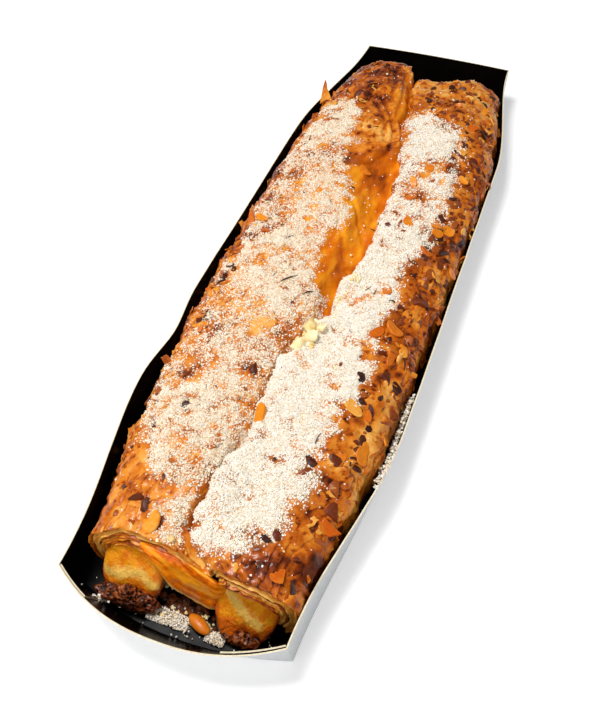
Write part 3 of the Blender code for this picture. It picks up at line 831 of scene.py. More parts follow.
@dataclass(frozen=True)
class BurntFinish(Finish):
    """Leaked custard, bubbled and burnt to a dark sponge."""

    name: str = "burnt_sponge"
    deep: Colour = srgb(26, 10, 5)
    red: Colour = srgb(96, 38, 12)
    tip: Colour = srgb(176, 98, 42)

    def build(self, bench: Bench) -> None:
        """Painted shade in the dark hollows, reddish skin, and painted highlight on the lighter, shiny tips."""
        sponge = bench.cells(1.5)
        # the sponge cells and the attribute light darken the hollows as painted shade and lighten tips and top
        # as painted light
        tone = sponge * 0.9 + (bench.noise(1.2, 4.0, 0.7) - 0.5) * 0.9 + bench.painted("light") * 0.5
        bench.dress(
            Base_Color=bench.ramp(tone, (0.1, self.deep), (0.5, self.red), (0.95, self.tip)),
            Roughness=0.33, Coat_Weight=0.15, Coat_Roughness=0.15, Specular_IOR_Level=0.25,
            Normal=bench.bump(sponge, 0.9, 0.8),
        )


@dataclass(frozen=True)
class NutFinish(Finish):
    """Chopped roast nut: dark skin, tan flesh where it is cut."""

    name: str = "chopped_nut"
    flesh: Colour = srgb(166, 84, 26)
    skin: Colour = srgb(110, 46, 16)
    dark: Colour = srgb(50, 20, 12)

    def build(self, bench: Bench) -> None:
        """Each piece's own shade, with streaks and a dull sheen."""
        tone = bench.painted("shade") + (bench.noise(1.6, 4.0, 0.65) - 0.5) * 0.7
        bench.dress(
            Base_Color=bench.ramp(tone, (0.05, self.dark), (0.5, self.skin), (0.95, self.flesh)),
            Roughness=0.42, Coat_Weight=0.1, Coat_Roughness=0.2, Specular_IOR_Level=0.2,
            Normal=bench.bump(bench.noise(0.8, 3.0, 0.6), 0.3, 0.6),
        )


@dataclass(frozen=True)
class AlmondFinish(Finish):
    """Toasted almond: golden orange, glassy."""

    name: str = "toasted_almond"
    pale: Colour = srgb(242, 186, 92)
    gold: Colour = srgb(228, 138, 26)
    toast: Colour = srgb(196, 88, 12)

    def build(self, bench: Bench) -> None:
        """Each piece's own shade, mottled."""
        tone = bench.painted("shade") + (bench.noise(2.2, 3.0, 0.6) - 0.5) * 0.7
        bench.dress(
            Base_Color=bench.ramp(tone, (0.05, self.pale), (0.45, self.gold), (1.0, self.toast)),
            Roughness=0.36, Coat_Weight=0.15, Coat_Roughness=0.15, Specular_IOR_Level=0.2,
            Subsurface_Weight=0.1, Subsurface_Radius=(1.4, 0.7, 0.2), Subsurface_Scale=1.2 * MM,
            Normal=bench.bump(bench.noise(0.9, 3.0, 0.6), 0.2, 0.5),
        )


@dataclass(frozen=True)
class SugarFinish(Finish):
    """Coarse sugar: off-white, a little clear, some grains stained."""

    name: str = "coarse_sugar"
    white: Colour = srgb(254, 250, 243)
    ivory: Colour = srgb(246, 232, 206)
    stained: Colour = srgb(224, 176, 118)

    def build(self, bench: Bench) -> None:
        """Shade by grain."""
        shade = bench.painted("shade")
        bench.dress(
            Base_Color=bench.ramp(shade, (0.0, self.white), (0.55, self.ivory), (1.0, self.stained)),
            Roughness=0.45, Specular_IOR_Level=0.4, Subsurface_Weight=0.2,
            Subsurface_Radius=(1.0, 0.9, 0.75), Subsurface_Scale=0.8 * MM,
        )


class CardFace(Enum):
    """Faces of the tray's card, in the order of their material indices."""

    INSIDE = "card_black"
    OUTSIDE = "card_silver"
    EDGE = "card_cut_edge"

    @property
    def index(self) -> int:
        """The face's material index."""
        return list(CardFace).index(self)


@dataclass(frozen=True)
class CardFinish(Finish):
    """One face of the laminated card."""

    face: CardFace = CardFace.INSIDE

    def build(self, bench: Bench) -> None:
        """Colour and gloss of the face."""
        makers = {CardFace.INSIDE: self._inside, CardFace.OUTSIDE: self._outside, CardFace.EDGE: self._edge}
        makers[self.face](bench)

    def _inside(self, bench: Bench) -> None:
        """Black gloss, slightly buckled, smeared with grease."""
        grease = bench.noise(16.0, 4.0, 0.6)
        bench.dress(
            Base_Color=bench.ramp(grease, (0.35, srgb(3, 2, 2)), (0.75, srgb(12, 7, 5))),
            Roughness=0.14 + grease * 0.2,
            Specular_IOR_Level=0.06,
            Normal=bench.bump(bench.noise(18.0, 2.0), 0.6, 0.5),
        )

    def _outside(self, bench: Bench) -> None:
        """Silver-grey with the paper's faint grain."""
        grain = bench.noise(1.4, 4.0, 0.7)
        bench.dress(
            Base_Color=bench.ramp(grain, (0.3, srgb(168, 170, 172)), (0.7, srgb(196, 198, 200))),
            Metallic=0.35,
            Roughness=0.38 + (grain - 0.5) * 0.2,
            Normal=bench.bump(grain, 0.05, 0.5),
        )

    def _edge(self, bench: Bench) -> None:
        """Raw cream board."""
        bench.dress(
            Base_Color=bench.ramp(
                bench.noise(0.9, 3.0), (0.3, srgb(214, 196, 160)), (0.7, srgb(240, 228, 200))
            ),
            Roughness=0.8,
        )


@dataclass(frozen=True)
class SliverFinish(Finish):
    """Dark shreds of nut skin."""

    name: str = "nut_sliver"

    def build(self, bench: Bench) -> None:
        """Nearly black with a brown cast."""
        tone = bench.noise(1.5, 3.0)
        bench.dress(
            Base_Color=bench.ramp(tone, (0.3, srgb(34, 20, 14)), (0.7, srgb(84, 50, 34))),
            Roughness=0.5,
        )


@dataclass(frozen=True)
class FloorFinish(Finish):
    """Plain pale surface under the part."""

    name: str = "pale_floor"

    def build(self, bench: Bench) -> None:
        """Even off-white."""
        bench.dress(
            Base_Color=(0.93, 0.93, 0.93, 1.0), Roughness=0.9, Specular_IOR_Level=0.1,
            Emission_Color=(1.0, 1.0, 1.0, 1.0), Emission_Strength=0.3,
        )


# ---- form of the bar and its tray

GAP = 0.3


@dataclass(frozen=True)
class TrayForm:
    """Sizes of the folded card tray."""

    half_length: float = 200.0
    end_half_width: float = 47.1
    height: float = 24.0
    card: float = 0.6
    rim_bulge: float = 14.0
    base_bulge: float = 8.5
    bulge_run: float = 105.0
    kink: Triple = (-77.0, 3.0, 18.0)
    front_bow: float = 14.2
    front_crease: Pair = (-195.5, 8.0)
    back_crease: float = 196.0
    back_bow: float = 1.5

    def half_width(self, side: float, y: Array, z: Array) -> Array:
        """Outer half-width of a side wall.

        Args:
            side: -1 for the left wall, 1 for the right one.
            y: Places along the wall.
            z: Heights.

        Returns:
            Distances from the middle.
        """
        level = np.clip(z / self.height, 0.0, 1.0)
        bulge = ease((self.half_length - np.abs(y)) / self.bulge_run)
        width = self.end_half_width + (self.base_bulge + (self.rim_bulge - self.base_bulge) * level) * bulge
        place, depth, reach = self.kink
        return width - np.where(np.asarray(side) < 0, level * depth * hump(y, place, reach), 0.0)

    def front(self, x: Array, z: Array) -> Array:
        """y of the front wall's outer face."""
        level = z / self.height
        share = np.minimum(np.abs(x) / self.end_half_width, 1.0)
        crease, bow = self.front_crease
        base = crease - bow * (1 - share**2)
        rim = -self.half_length - self.front_bow * (1 - share**2.3)
        return base + (rim - base) * level

    def back(self, x: Array, z: Array) -> Array:
        """y of the back wall's outer face."""
        level = z / self.height
        bow = self.back_bow * level * (1 - (x / self.end_half_width) ** 2)
        return self.back_crease + (self.half_length - self.back_crease) * level + bow


TRAY = TrayForm()
DOUGH_BASE = TRAY.card + GAP


@dataclass(frozen=True)
class BarForm:
    """Shape of the bar's crust, read by a share over the section and a place along the bar."""

    front: float = -182.0
    back: float = 173.0
    closing: float = 11.0
    half_left: Table = (
        (-190, 40), (-160, 45), (-120, 50), (-80, 53), (0, 55.5), (60, 55.5), (110, 52), (150, 47), (170, 44),
    )
    half_right: Table = (
        (-190, 45), (-160, 49), (-120, 54), (-80, 56), (0, 58), (80, 59), (106, 57), (136, 53), (170, 48),
    )
    crown: Table = ((-190, 36), (-165, 37), (0, 38.5), (60, 40), (105, 41), (140, 39), (170, 36))
    fold_edge: Table = (
        (-190, 20), (-185, 14), (-180, 8), (-175, 1), (-170, -1), (-140, 0), (-120, 3), (-80, 3), (-66, 6),
        (-55, 13), (-40, 13), (0, 17), (45, 15), (72, 12), (97, 6), (120, 3), (150, 0), (170, -2),
    )
    lip_edge: Table = (
        (-190, 4), (-185, -2), (-180, -4), (-172, -6), (-140, -5), (-80, -2), (-66, 2), (-60, 3), (-40, 0),
        (0, -4), (20, -2), (30, -6), (46, -14), (58, -14), (68, -3), (78, 7), (97, 1), (120, -2), (170, -7),
    )
    groove: Table = (
        (-190, 8), (-165, 7), (-66, 7), (-45, 9), (45, 10), (68, 9), (84, 6), (140, 6), (170, 8),
    )
    exponent: float = 2.9
    widest_share: float = 0.48
    undercut: float = 0.10
    shoulder: float = 0.86
    left_top: float = 0.17
    lip: float = 0.42
    floor: float = 0.50
    edge: float = 0.56
    right_top: float = 0.83

    def half_width(self, side: Array, y: Array) -> Array:
        """Half-width on the side that side's sign gives."""
        return np.where(side < 0, along(self.half_left, y), along(self.half_right, y))

    def dome(self, x: Array, y: Array) -> Array:
        """Height of the crust over x, without the fold.

        Args:
            x: Places across.
            y: Places along.

        Returns:
            Heights.
        """
        crown = along(self.crown, y)
        widest = crown * self.widest_share
        share = np.minimum(np.abs(x) / self.half_width(x, y), 1.0)
        height = widest + (crown - widest) * (1 - share**self.exponent) ** (1 / self.exponent)
        flaps = 1.3 * hump(x, -27, 14) + 1.5 * hump(x, 32, 12)
        swell = 0.5 * np.sin(y / 9.0 + x / 17.0) + 0.4 * np.sin(y / 5.2 - x / 11.0)
        return height + (flaps + swell) * (1 - share**6)

    def side(self, share: Array, half: Array, y: Array) -> tuple[Array, Array]:
        """x and z on a side: share 0 at the foot and 1 at the shoulder.

        Args:
            share: Shares of the way up.
            half: Half-widths.
            y: Places along.

        Returns:
            Distances from the middle, and heights.
        """
        crown = along(self.crown, y)
        widest = crown * self.widest_share
        turn = 0.45
        low = np.clip(share / turn, 0, 1)
        top = (1 - self.shoulder**self.exponent) ** (1 / self.exponent)
        high = top * np.clip((share - turn) / (1 - turn), 0, 1)
        below = share < turn
        leaning = half * (1 - self.undercut * (1 - low) ** 2.5)
        x = np.where(below, leaning, half * (1 - high**self.exponent) ** (1 / self.exponent))
        z = np.where(below, DOUGH_BASE + (widest - DOUGH_BASE) * low, widest + (crown - widest) * high)
        return x, z

    def crust(self, u: Array, y: Array) -> tuple[Array, Array]:
        """x and z of the crust at share u over the section at y.

        Args:
            u: Shares over the section, from the left foot to the right one.
            y: Places along.

        Returns:
            Places across, and heights.
        """
        wobble = 0.5 * np.sin(y / 6.1) + 0.45 * np.sin(y / 3.7 + 1.0)
        crinkle = 0.7 * np.sin(y / 4.3) + 0.5 * np.sin(y / 2.1 + 1.0) + 0.8 * np.sin(y / 9.7 + 2.0)
        lip, edge = along(self.lip_edge, y) + 0.5 * wobble, along(self.fold_edge, y) + crinkle
        depth = along(self.groove, y)
        sign = np.where(u < 0.5, -1.0, 1.0)
        share = np.clip(np.where(sign < 0, u / self.left_top, (1 - u) / (1 - self.right_top)), 0, 1)
        half = self.half_width(sign, y)
        side_x, side_z = self.side(share, half + wobble * ease(share * 3), y)
        lift = self.dome(sign * half * self.shoulder, y) - self.side(np.ones_like(y), half, y)[1]
        side_z = side_z + lift * ease((share - 0.5) * 2)
        side_x = side_x * sign

        left = half * self.shoulder
        t = (u - self.left_top) / (self.lip - self.left_top)
        left_x = -left + (lip + left) * t - wobble * (1 - t) ** 2
        left_z = self.dome(left_x, y) - 1.2 * hump(left_x - lip, 0, 2.5)
        t = np.clip((u - self.lip) / (self.floor - self.lip), 0, 1)
        slope_x = lip + (edge - 0.8 - lip) * t
        slope_z = self.dome(slope_x, y) - 1.2 - (depth - 1.2) * ease(t * 1.15)
        t = np.clip((u - self.floor) / (self.edge - self.floor), 0, 1)
        roll = 1.6 * np.sin(math.pi * np.clip(t * 1.1, 0, 1))
        wall_x = edge - 0.8 + 2.4 * t - roll
        wall_z = self.dome(edge - 0.8 + 2.4 * t, y) - depth * (1 - ease(t))
        t = np.clip((u - self.edge) / (self.right_top - self.edge), 0, 1)
        start = edge + 1.6
        right_x = start + (half * self.shoulder - start) * t + wobble * t**2
        right_z = self.dome(right_x, y) + 0.8 * hump(t, 0.08, 0.12)

        stretches = [(u < self.left_top) | (u > self.right_top), u <= self.lip, u <= self.floor, u <= self.edge]
        x = np.select(stretches, [side_x, left_x, slope_x, wall_x], right_x)
        z = np.select(stretches, [side_z, left_z, slope_z, wall_z], right_z)
        return x, z

    def ends_shaped(self, x: Array, y: Array) -> Array:
        """y with the outlines of both ends worked in."""
        front_edge = -3.5 * ease((-27 - x) / 12) - 4.5 * ease((x + 25) / 50)
        back_edge = -13.0 * ease((x + 13) / 13) + 9.5 * ease((x - 4) / 36)
        return y + ease((-140 - y) / 42) * front_edge + ease((y - 120) / 40) * back_edge

    def clear_of_walls(self, points: Array, room: float = 0.45) -> Array:
        """Points held inside the tray's side walls.

        Args:
            points: Places on the crust.
            room: Least distance from a wall.

        Returns:
            The places, moved inwards where they were too far out.
        """
        x, y, z = points[..., 0], points[..., 1], points[..., 2]
        limit = TRAY.half_width(x, y, np.minimum(z, TRAY.height)) - TRAY.card - room
        limit = np.where(z > TRAY.height + 1.5, np.abs(x), limit)
        held = points.copy()
        held[..., 0] = np.sign(x) * np.minimum(np.abs(x), limit)
        held[..., 2] = np.maximum(z, DOUGH_BASE)
        return held


BAR = BarForm()


class Side(Enum):
    """The bar's two flaps."""

    LEFT = "left"
    RIGHT = "right"


@dataclass(frozen=True)
class Dusting:
    """Where sugar lies on the crust, as outlines on the plan with how densely each is covered."""

    left: Path = (
        (-51, -60), (-51, -100), (-48, -128), (-38, -142), (-33, -150), (-28, -160), (-12, -160), (2, -152),
        (9, -120), (10, -80), (11, -64), (6, -42), (-1, -22), (-1, 0), (-3, 22), (-8, 40), (-12, 56), (-18, 80),
        (-24, 112), (-38, 120), (-49, 100), (-52, 40), (-52, -20),
    )
    left_patch: Path = (
        (-18, -166), (-5, -160), (-1, -180), (-8, -184), (-16, -180), (-19, -174),
    )
    right: Path = (
        (-12, -168), (-6, -180), (6, -186), (16, -188), (24, -184), (31, -172), (38, -160), (41, -138),
        (41, -118), (42, -96), (40, -70), (41, -40), (42, -6), (48, 10), (51, 30), (51, 60), (45, 82),
        (38, 104), (16, 119), (0, 106), (0, 84), (0, 72), (2, 50), (4, 20), (4, -10), (0, -40), (-4, -54),
        (-8, -66), (-13, -90), (-14, -130), (-15, -150),
    )
    # x, y, reach of places that stayed bare
    bare: Rows = (
        (-14.5, -70, 7), (-11, -97, 5), (-35, -107, 4), (-20, -20, 3), (22, -168, 5), (32, -131, 5),
        (29, 40, 4), (-31, -29, 4), (-30, 62, 5), (-38, 38, 4),
    )

    def cover(self, x: Array, y: Array, side: Side) -> Array:
        """Share of one flap's crust that sugar hides at each place of the plan.

        Args:
            x: Places across.
            y: Places along.
            side: The flap.

        Returns:
            Shares from 0 to 1.
        """
        place = np.stack([x, y, np.zeros_like(x)], -1)
        wavy = 4.5 * rough(place, 12.0, 31, 3)
        clumps = rough(place, 4.2, 33, 3)
        missing = sum(np.exp(-((x - bx) ** 2 + (y - by) ** 2) / r**2) for bx, by, r in self.bare)
        if side is Side.LEFT:
            left = ease((inside_outline(x, y, self.left) + wavy + 3) / 8)
            left = left * (0.56 + 0.22 * rough(place, 15.0, 37, 3))
            patch = ease((inside_outline(x, y, self.left_patch) + wavy * 0.5 + 2) / 6) * 0.62
            cover = np.maximum(left, patch) * np.clip(0.95 + 0.6 * clumps, 0.35, 1.3)
        else:
            right = ease((inside_outline(x, y, self.right) + wavy * 0.9 + 1.5) / 12)
            right = right * (0.98 - 0.38 * ease((y - 5) / 15) + 0.14 * ease((y - 60) / 15))
            thick = 0.95 + 0.7 * clumps * (1.5 - right) + 0.45 * rough(place, 9.0, 39, 2)
            cover = right * np.clip(thick, 0, 1.2)
        return np.clip(cover * (1 - 0.8 * np.clip(missing, 0, 1)), 0, 1)


DUSTING = Dusting()


# ---- putting pieces in place


def settle(
    piece: Piece, finishes: Finish | tuple[Finish, ...], replaced: tuple[str, ...] = ()
) -> Piece:
    """Gives a finished piece its material and body, and hides the nodes that it stands for.

    Args:
        piece: The finished object.
        finishes: Its finish, or one for each material index.
        replaced: Nodes that it stands for.

    Returns:
        The same object.
    """
    for finish in finishes if isinstance(finishes, tuple) else (finishes,):
        piece.data.materials.append(finish.material())
    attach(piece, BODY)
    if replaced:
        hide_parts(*replaced)
    triangles = sum(len(face.vertices) - 2 for face in piece.data.polygons)
    log.info("%s: %d triangles, stands for %s", piece.name, triangles, ", ".join(replaced) or "no node")
    return piece


# ---- crust


@dataclass
class Flap:
    """One flap of the bar: crust, rolled edge, recessed open front and closed back."""

    side: Side
    mouth: Pair
    columns: int = 165
    rows: int = 520
    floor_columns: int = 9
    # how far a flap reaches past the fold, unseen, and where that edge lies at the front
    overlap: float = 3.0
    hidden_front: Pair = (12.5, 17.0)
    hidden_ends: Pair = (-178.0, 168.0)
    tuck: float = 0.6
    blister_size: float = 6.2
    pit_size: float = 3.1
    # x, y, reach across, reach along, how much browner
    marks: Rows = (
        (-14.5, -70, 6, 8, -0.4), (-11.5, -96.5, 9, 3.5, 0.4), (-31.5, -29, 4, 4, -0.3),
        (-48, -24, 2.5, 5, 0.45), (-46, -43, 2.5, 4, 0.35), (-41, -14, 3, 3, 0.3), (-47, 20, 3, 4, 0.4),
        (-35, -107, 4, 3, 0.3), (-44, -73, 3, 4, 0.4), (-28, -122, 5.5, 5.5, 0.4), (-42, 0.5, 5, 2.5, 0.3),
        (-21, -10.5, 2, 6, 0.3), (-7.5, -8.5, 3, 5, 0.3), (45, -172, 4, 7, 0.3), (-30, 130, 7, 6, 0.3),
        (-14, 145, 6, 8, 0.25), (26, -168, 7, 4, 0.2), (46, 8, 7, 9, 0.3), (-8, 156, 7, 12, -0.35),
        (-1, 128, 6, 34, -0.35), (-18, 90, 12, 16, -0.12), (44, -160, 9, 30, 0.04),
    )
    # path on the plan, reach, depth, how much browner, which is painted shade in the crease
    creases: tuple[tuple[Path, float, float, float], ...] = (
        (((-16, 56), (-10, 57), (-3, 61), (4, 71), (3, 82), (1, 90), (-6, 106), (-15, 119)), 1.5, 2.0, 0.3),
        (((-17, 114), (-7, 98), (-1, 79)), 1.5, 1.2, 0.25),
        (((-1, 100), (-3, 125), (-8, 150)), 1.6, 1.5, 0.15),
        (((-9, 118), (-12, 138), (-16, 152)), 1.5, 1.0, 0.15),
        (((-4, 29), (10, 7), (15, -5), (8, -17)), 1.3, 1.1, 0.2),
        (((-13, 22), (-2, 4), (6, -12), (4, -26)), 1.2, 0.8, 0.12),
        (((-44, -118), (-38, -132), (-30, -150)), 1.3, 0.8, 0.2),
    )

    # how far inwards and how deep each ring of the cut edge lies, from the innermost
    rounding: Path = (
        (10.0, 9.0), (5.0, 8.8), (2.6, 7.0), (1.5, 4.0), (1.15, 1.2), (0.8, 0.25), (0.4, -0.1),
    )

    def shares(self) -> Array:
        """Shares over the section, spaced so that columns lie about evenly."""
        if self.side is Side.LEFT:
            stops, lengths = (0.0, BAR.left_top, BAR.lip, BAR.floor), (40, 42, 14)
        else:
            stops, lengths = (BAR.floor + 0.004, BAR.edge, BAR.right_top, 1.0), (12, 38, 40)
        total = sum(lengths)
        shares: list[Array] = []
        for start, end, length in zip(stops, stops[1:], lengths):
            count = round(self.columns * length / total)
            shares.append(np.linspace(start, end, count, endpoint=False))
        return np.concatenate([*shares, [stops[-1]]])

    def section(self, y: Array) -> tuple[Array, Array, Array]:
        """Rings of the flap.

        Args:
            y: Places along the bar, one for each ring.

        Returns:
            The rings' points, how much of the relief each point takes, and each point's share.
        """
        shares = self.shares()
        u, rows = np.meshgrid(shares, y)
        x, z = BAR.crust(u, rows)
        left = self.side is Side.LEFT
        edge = along(BAR.fold_edge, y) + self.overlap
        hidden = (edge - ease((-165 - y) / 15) * (edge - self.hidden_front[0 if left else 1]))[:, None]
        wall = np.linspace(0.0, 1.0, 4)[None]
        under = np.linspace(0.0, 1.0, self.floor_columns + 2)[None, 1:-1]
        if left:
            end_x, end_z = x[:, -1:], z[:, -1:]
            wall_x = end_x + (hidden - end_x) * ease(wall * 2)
            wall_z = (end_z - self.tuck) + (DOUGH_BASE - end_z + self.tuck) * ease(wall * 2 - 1)
            under_x = hidden + (x[:, :1] - hidden) * under
        else:
            start_x, start_z = x[:, :1], z[:, :1]
            wall_x = hidden + (start_x - hidden) * ease(wall * 2 - 1)
            wall_z = DOUGH_BASE + (start_z - self.tuck - DOUGH_BASE) * ease(wall * 2)
            under_x = x[:, -1:] + (hidden - x[:, -1:]) * under
        hem = [(wall_x, wall_z), (under_x, np.full_like(under_x, DOUGH_BASE))]
        stretches = [(x, z), *(hem if left else reversed(hem))]
        ring_x, ring_z = (np.concatenate(parts, 1) for parts in zip(*stretches))
        more = 0, ring_x.shape[1] - len(shares)
        crust = np.pad(np.ones(len(shares)), more)[None]
        ring_y = BAR.ends_shaped(ring_x, np.broadcast_to(y[:, None], ring_x.shape))
        ring_y = np.where(crust > 0, ring_y, np.clip(ring_y, *self.hidden_ends))
        fade = np.minimum(ease(ring_z / 5.0 - 0.1), crust)
        return np.stack([ring_x, ring_y, ring_z], -1), fade, np.broadcast_to(np.pad(shares, more), ring_x.shape)

    def relief(self, points: Array, u: Array) -> Array:
        """Height of the crust's lumps, blisters, pits, ledges, folds and sugar over its smooth form.

        Args:
            points: Places on the smooth form.
            u: Their shares over the section.

        Returns:
            Heights over the smooth form.
        """
        x, y = points[..., 0], points[..., 1]
        sugar = DUSTING.cover(x, y, self.side)
        bare = 1 - sugar
        inner = self.inner(points, u)
        height = layered(points, (0.6, 15.0, 1, 2), (0.4, 5.5, 2, 2), (0.16, 2.2, 3, 2))
        blister, pit = self.blisters(points)
        height *= 1 - 0.6 * inner
        calm = 1 - 0.8 * dab(x, y, (-8, 98), (16, 34))
        height += bare * calm * (1 - inner) * (0.8 * blister - 0.6 * pit + 0.65 * (self.ledges(points) - 0.5))
        for path, reach, deep, _ in self.creases:
            height -= deep * hump(line_distance(x, y, path), 0, reach)
        height += inner * 1.2 * rough(points * [1.0, 0.3, 0.4], 7.0, 9, 2)
        return height + sugar * (0.5 + layered(points, (0.4, 2.0, 11, 2), (0.7, 5.0, 12, 2)))

    def inner(self, points: Array, u: Array) -> Array:
        """How far each point belongs to the glossy inner dough of the groove.

        Args:
            points: Places on the crust.
            u: Their shares over the section.

        Returns:
            Shares from 0 to 1.
        """
        x, y = points[..., 0], points[..., 1]
        gape = ease((y + 66) / 12) * ease((84 - y) / 16)
        spill = 0.13 * ease((y + 40) / 30) * ease((60 - y) / 30)
        within = ease((u - (BAR.lip - 0.015 - spill)) / 0.035) * ease((BAR.edge - 0.02 - u) / 0.02)
        flank = 0.85 * dab(x, y, (-1, 130), (6.5, 30)) * (self.side is Side.LEFT)
        return np.maximum(within * np.maximum(gape, 0.35 * ease((u - BAR.lip) / 0.04)), flank)

    def browning(self, points: Array, u: Array) -> Array:
        """How far each point is baked, from 0 for cream to 1 for dark, with painted shade in the creases, at
        the foot of the groove's wall, in the hollow under the fold and at the foot of each ledge, and painted
        highlight on each ledge's raised edge.

        Args:
            points: Places on the crust.
            u: Their shares over the section.

        Returns:
            How brown each place is.
        """
        x, y, z = points[..., 0], points[..., 1], points[..., 2]
        brown = 0.47 + layered(points, (0.22, 28.0, 21, 2), (0.26, 8.0, 22, 3))
        flank = ease((np.abs(x) - 36) / 12)
        brown -= 0.04 * flank * ease((z - 14) / 8)
        brown -= 0.12 * flank * ease((20 - z) / 14)
        brown += (0.16 if self.side is Side.LEFT else -0.06) * ease((y - 105) / 40)
        # paler towards the front on the left flap; on the right flap a darker front, which is painted shade
        brown -= (0.14 if self.side is Side.LEFT else -0.04) * ease((-150 - y) / 22)
        blister, pit = self.blisters(points)
        ledge = self.ledges(points)
        # painted shade darkens the foot of each ledge and painted highlight lightens its raised edge
        brown += 0.26 * blister + 0.45 * pit + 0.32 * np.clip(1 - ledge / 0.22, 0, 1) - 0.12 * ledge
        for mark_x, mark_y, reach_x, reach_y, more in self.marks:
            brown += more * dab(x, y, (mark_x, mark_y), (reach_x, reach_y))
        # painted shade: a dark band at the foot of the right flap's wall in the groove
        brown += 0.22 * hump(u, BAR.floor + 0.012, 0.018) * ease((u - 0.3) * 9)
        inner = self.inner(points, u)
        brown += inner * (0.3 + 0.35 * rough(points * [1.0, 0.3, 0.5], 7.0, 24, 2) - brown)
        # painted shade: a dark patch in the hollow where the groove gapes under the fold
        brown += 0.55 * dab(x, y, (1, 58), (15, 11)) * ease((u - BAR.lip) * 30 + 1)
        # painted shade darkens every crease
        for path, reach, _, more in self.creases:
            brown += more * hump(line_distance(x, y, path), 0, reach)
        return np.clip(brown, 0, 1.2)

    def build(self) -> Piece:
        """Models the flap and dresses it."""
        ahead = np.linspace(BAR.front, BAR.back - BAR.closing, self.rows)
        points, fade, u = self.section(ahead)
        relief = self.relief(points, u) * fade
        points = points + normals_of(points) * relief[..., None]
        ragged = 0.5 * rough(points, 5.0, 17, 2) * ease((-176 - points[..., 1]) / 5) * fade
        points[..., 1] += ragged
        points = BAR.clear_of_walls(points)
        front, back = self._front_rings(points[0], fade[0]), self._back_rings(points, fade)
        whole = np.concatenate([front, points, back])
        ends = ((len(front), len(back)), (0, 0))
        u_all, fade_all = (np.pad(values, ends, mode="edge") for values in (u, fade))
        brown = self.browning(whole, u_all)
        depth_in = np.concatenate([np.linspace(0.9, 0.0, len(front)), np.zeros(self.rows + len(back))])
        # painted shade: the crust darkens on the rings that sink into the open front
        brown = brown + 0.5 * depth_in[:, None]
        sugar = DUSTING.cover(whole[..., 0], whole[..., 1], self.side) * ease((whole[..., 2] - 21) / 7)
        sugar = sugar * (1 - depth_in[:, None]) * np.where(fade_all > 0.3, 1.0, 0.0)
        wet = 0.75 + 0.25 * rough(whole, 12.0, 41, 2)
        crust = tube_piece(
            f"crust_{self.side.value}", whole, (front[0].mean(0), back[-1].mean(0)),
            brown=brown, sugar=sugar, wet=wet, inner=self.inner(whole, u_all),
        )
        shade_smooth(crust)
        return settle(crust, CrustFinish(), ("pastry_dough",))

    def _front_rings(self, edge: Array, fade: Array) -> Array:
        """Rings that round the crust's cut edge and sink into the open front.

        Args:
            edge: The crust's first ring.
            fade: How much each of its points is crust.

        Returns:
            The rings, innermost first.
        """
        centre = np.array([self.mouth[0], 0.0, self.mouth[1]])
        rings = []
        out = edge - centre
        out[:, 1] = 0
        out /= np.maximum(np.linalg.norm(out, axis=1, keepdims=True), 1e-6)
        for inward, sunk in self.rounding:
            ring = edge - out * inward
            ring[:, 1] += sunk * np.where(fade > 0, 1, 0)
            ring[:, 2] = np.maximum(ring[:, 2], DOUGH_BASE)
            rings.append(ring)
        return np.array(rings)

    def _back_rings(self, points: Array, fade: Array) -> Array:
        """Rings that round the back end shut.

        Args:
            points: The crust's rings.
            fade: How much each point is crust.

        Returns:
            The rings, with the smallest last.
        """
        last = points[-1]
        centre = np.array([self.mouth[0] + (4.0 if self.side is Side.LEFT else -6.0), 0.0, 15.0])
        rings = []
        count = 16
        for k in range(1, count + 1):
            t = k / (count + 0.4)
            scale = (1 - t**2.6) ** (1 / 2.6)
            ring = centre + (last - centre) * scale
            ring[:, 1] = last[:, 1] + BAR.closing * t * np.where(fade[-1] > 0, 1.0, 0.35)
            ring[:, 2] = np.maximum(ring[:, 2], DOUGH_BASE)
            rings.append(ring)
        rings = np.array(rings)
        rings[..., 1] += 0.5 * rough(rings, 5.0, 19, 2)
        return rings

    def blisters(self, points: Array) -> tuple[Array, Array]:
        """How far each point belongs to a raised blister, and to a pit."""
        warped = points[..., :2] + 1.2 * rough(points, 3.0, 43)[..., None]
        distance, own = spots(warped, self.blister_size, 5)
        blister = np.clip(1 - distance / (0.2 + 0.35 * own), 0, 1) ** 0.7 * (own > 0.35)
        distance, own = spots(warped, self.pit_size, 8)
        return blister, np.clip(1 - distance / 0.34, 0, 1) * (own > 0.6)

    def ledges(self, points: Array) -> Array:
        """Sawtooth from 0 to 1 that steps down at the edge of each flake of the outer sheet."""
        x, z = points[..., 0], points[..., 2]
        drift = 2.4 * rough(points * [1.0, 0.45, 1.0], 13.0, 14, 3) + (np.abs(x) * 0.05 - z * 0.07)
        return (drift - np.floor(drift)) ** 0.8


# ---- surface for the toppings


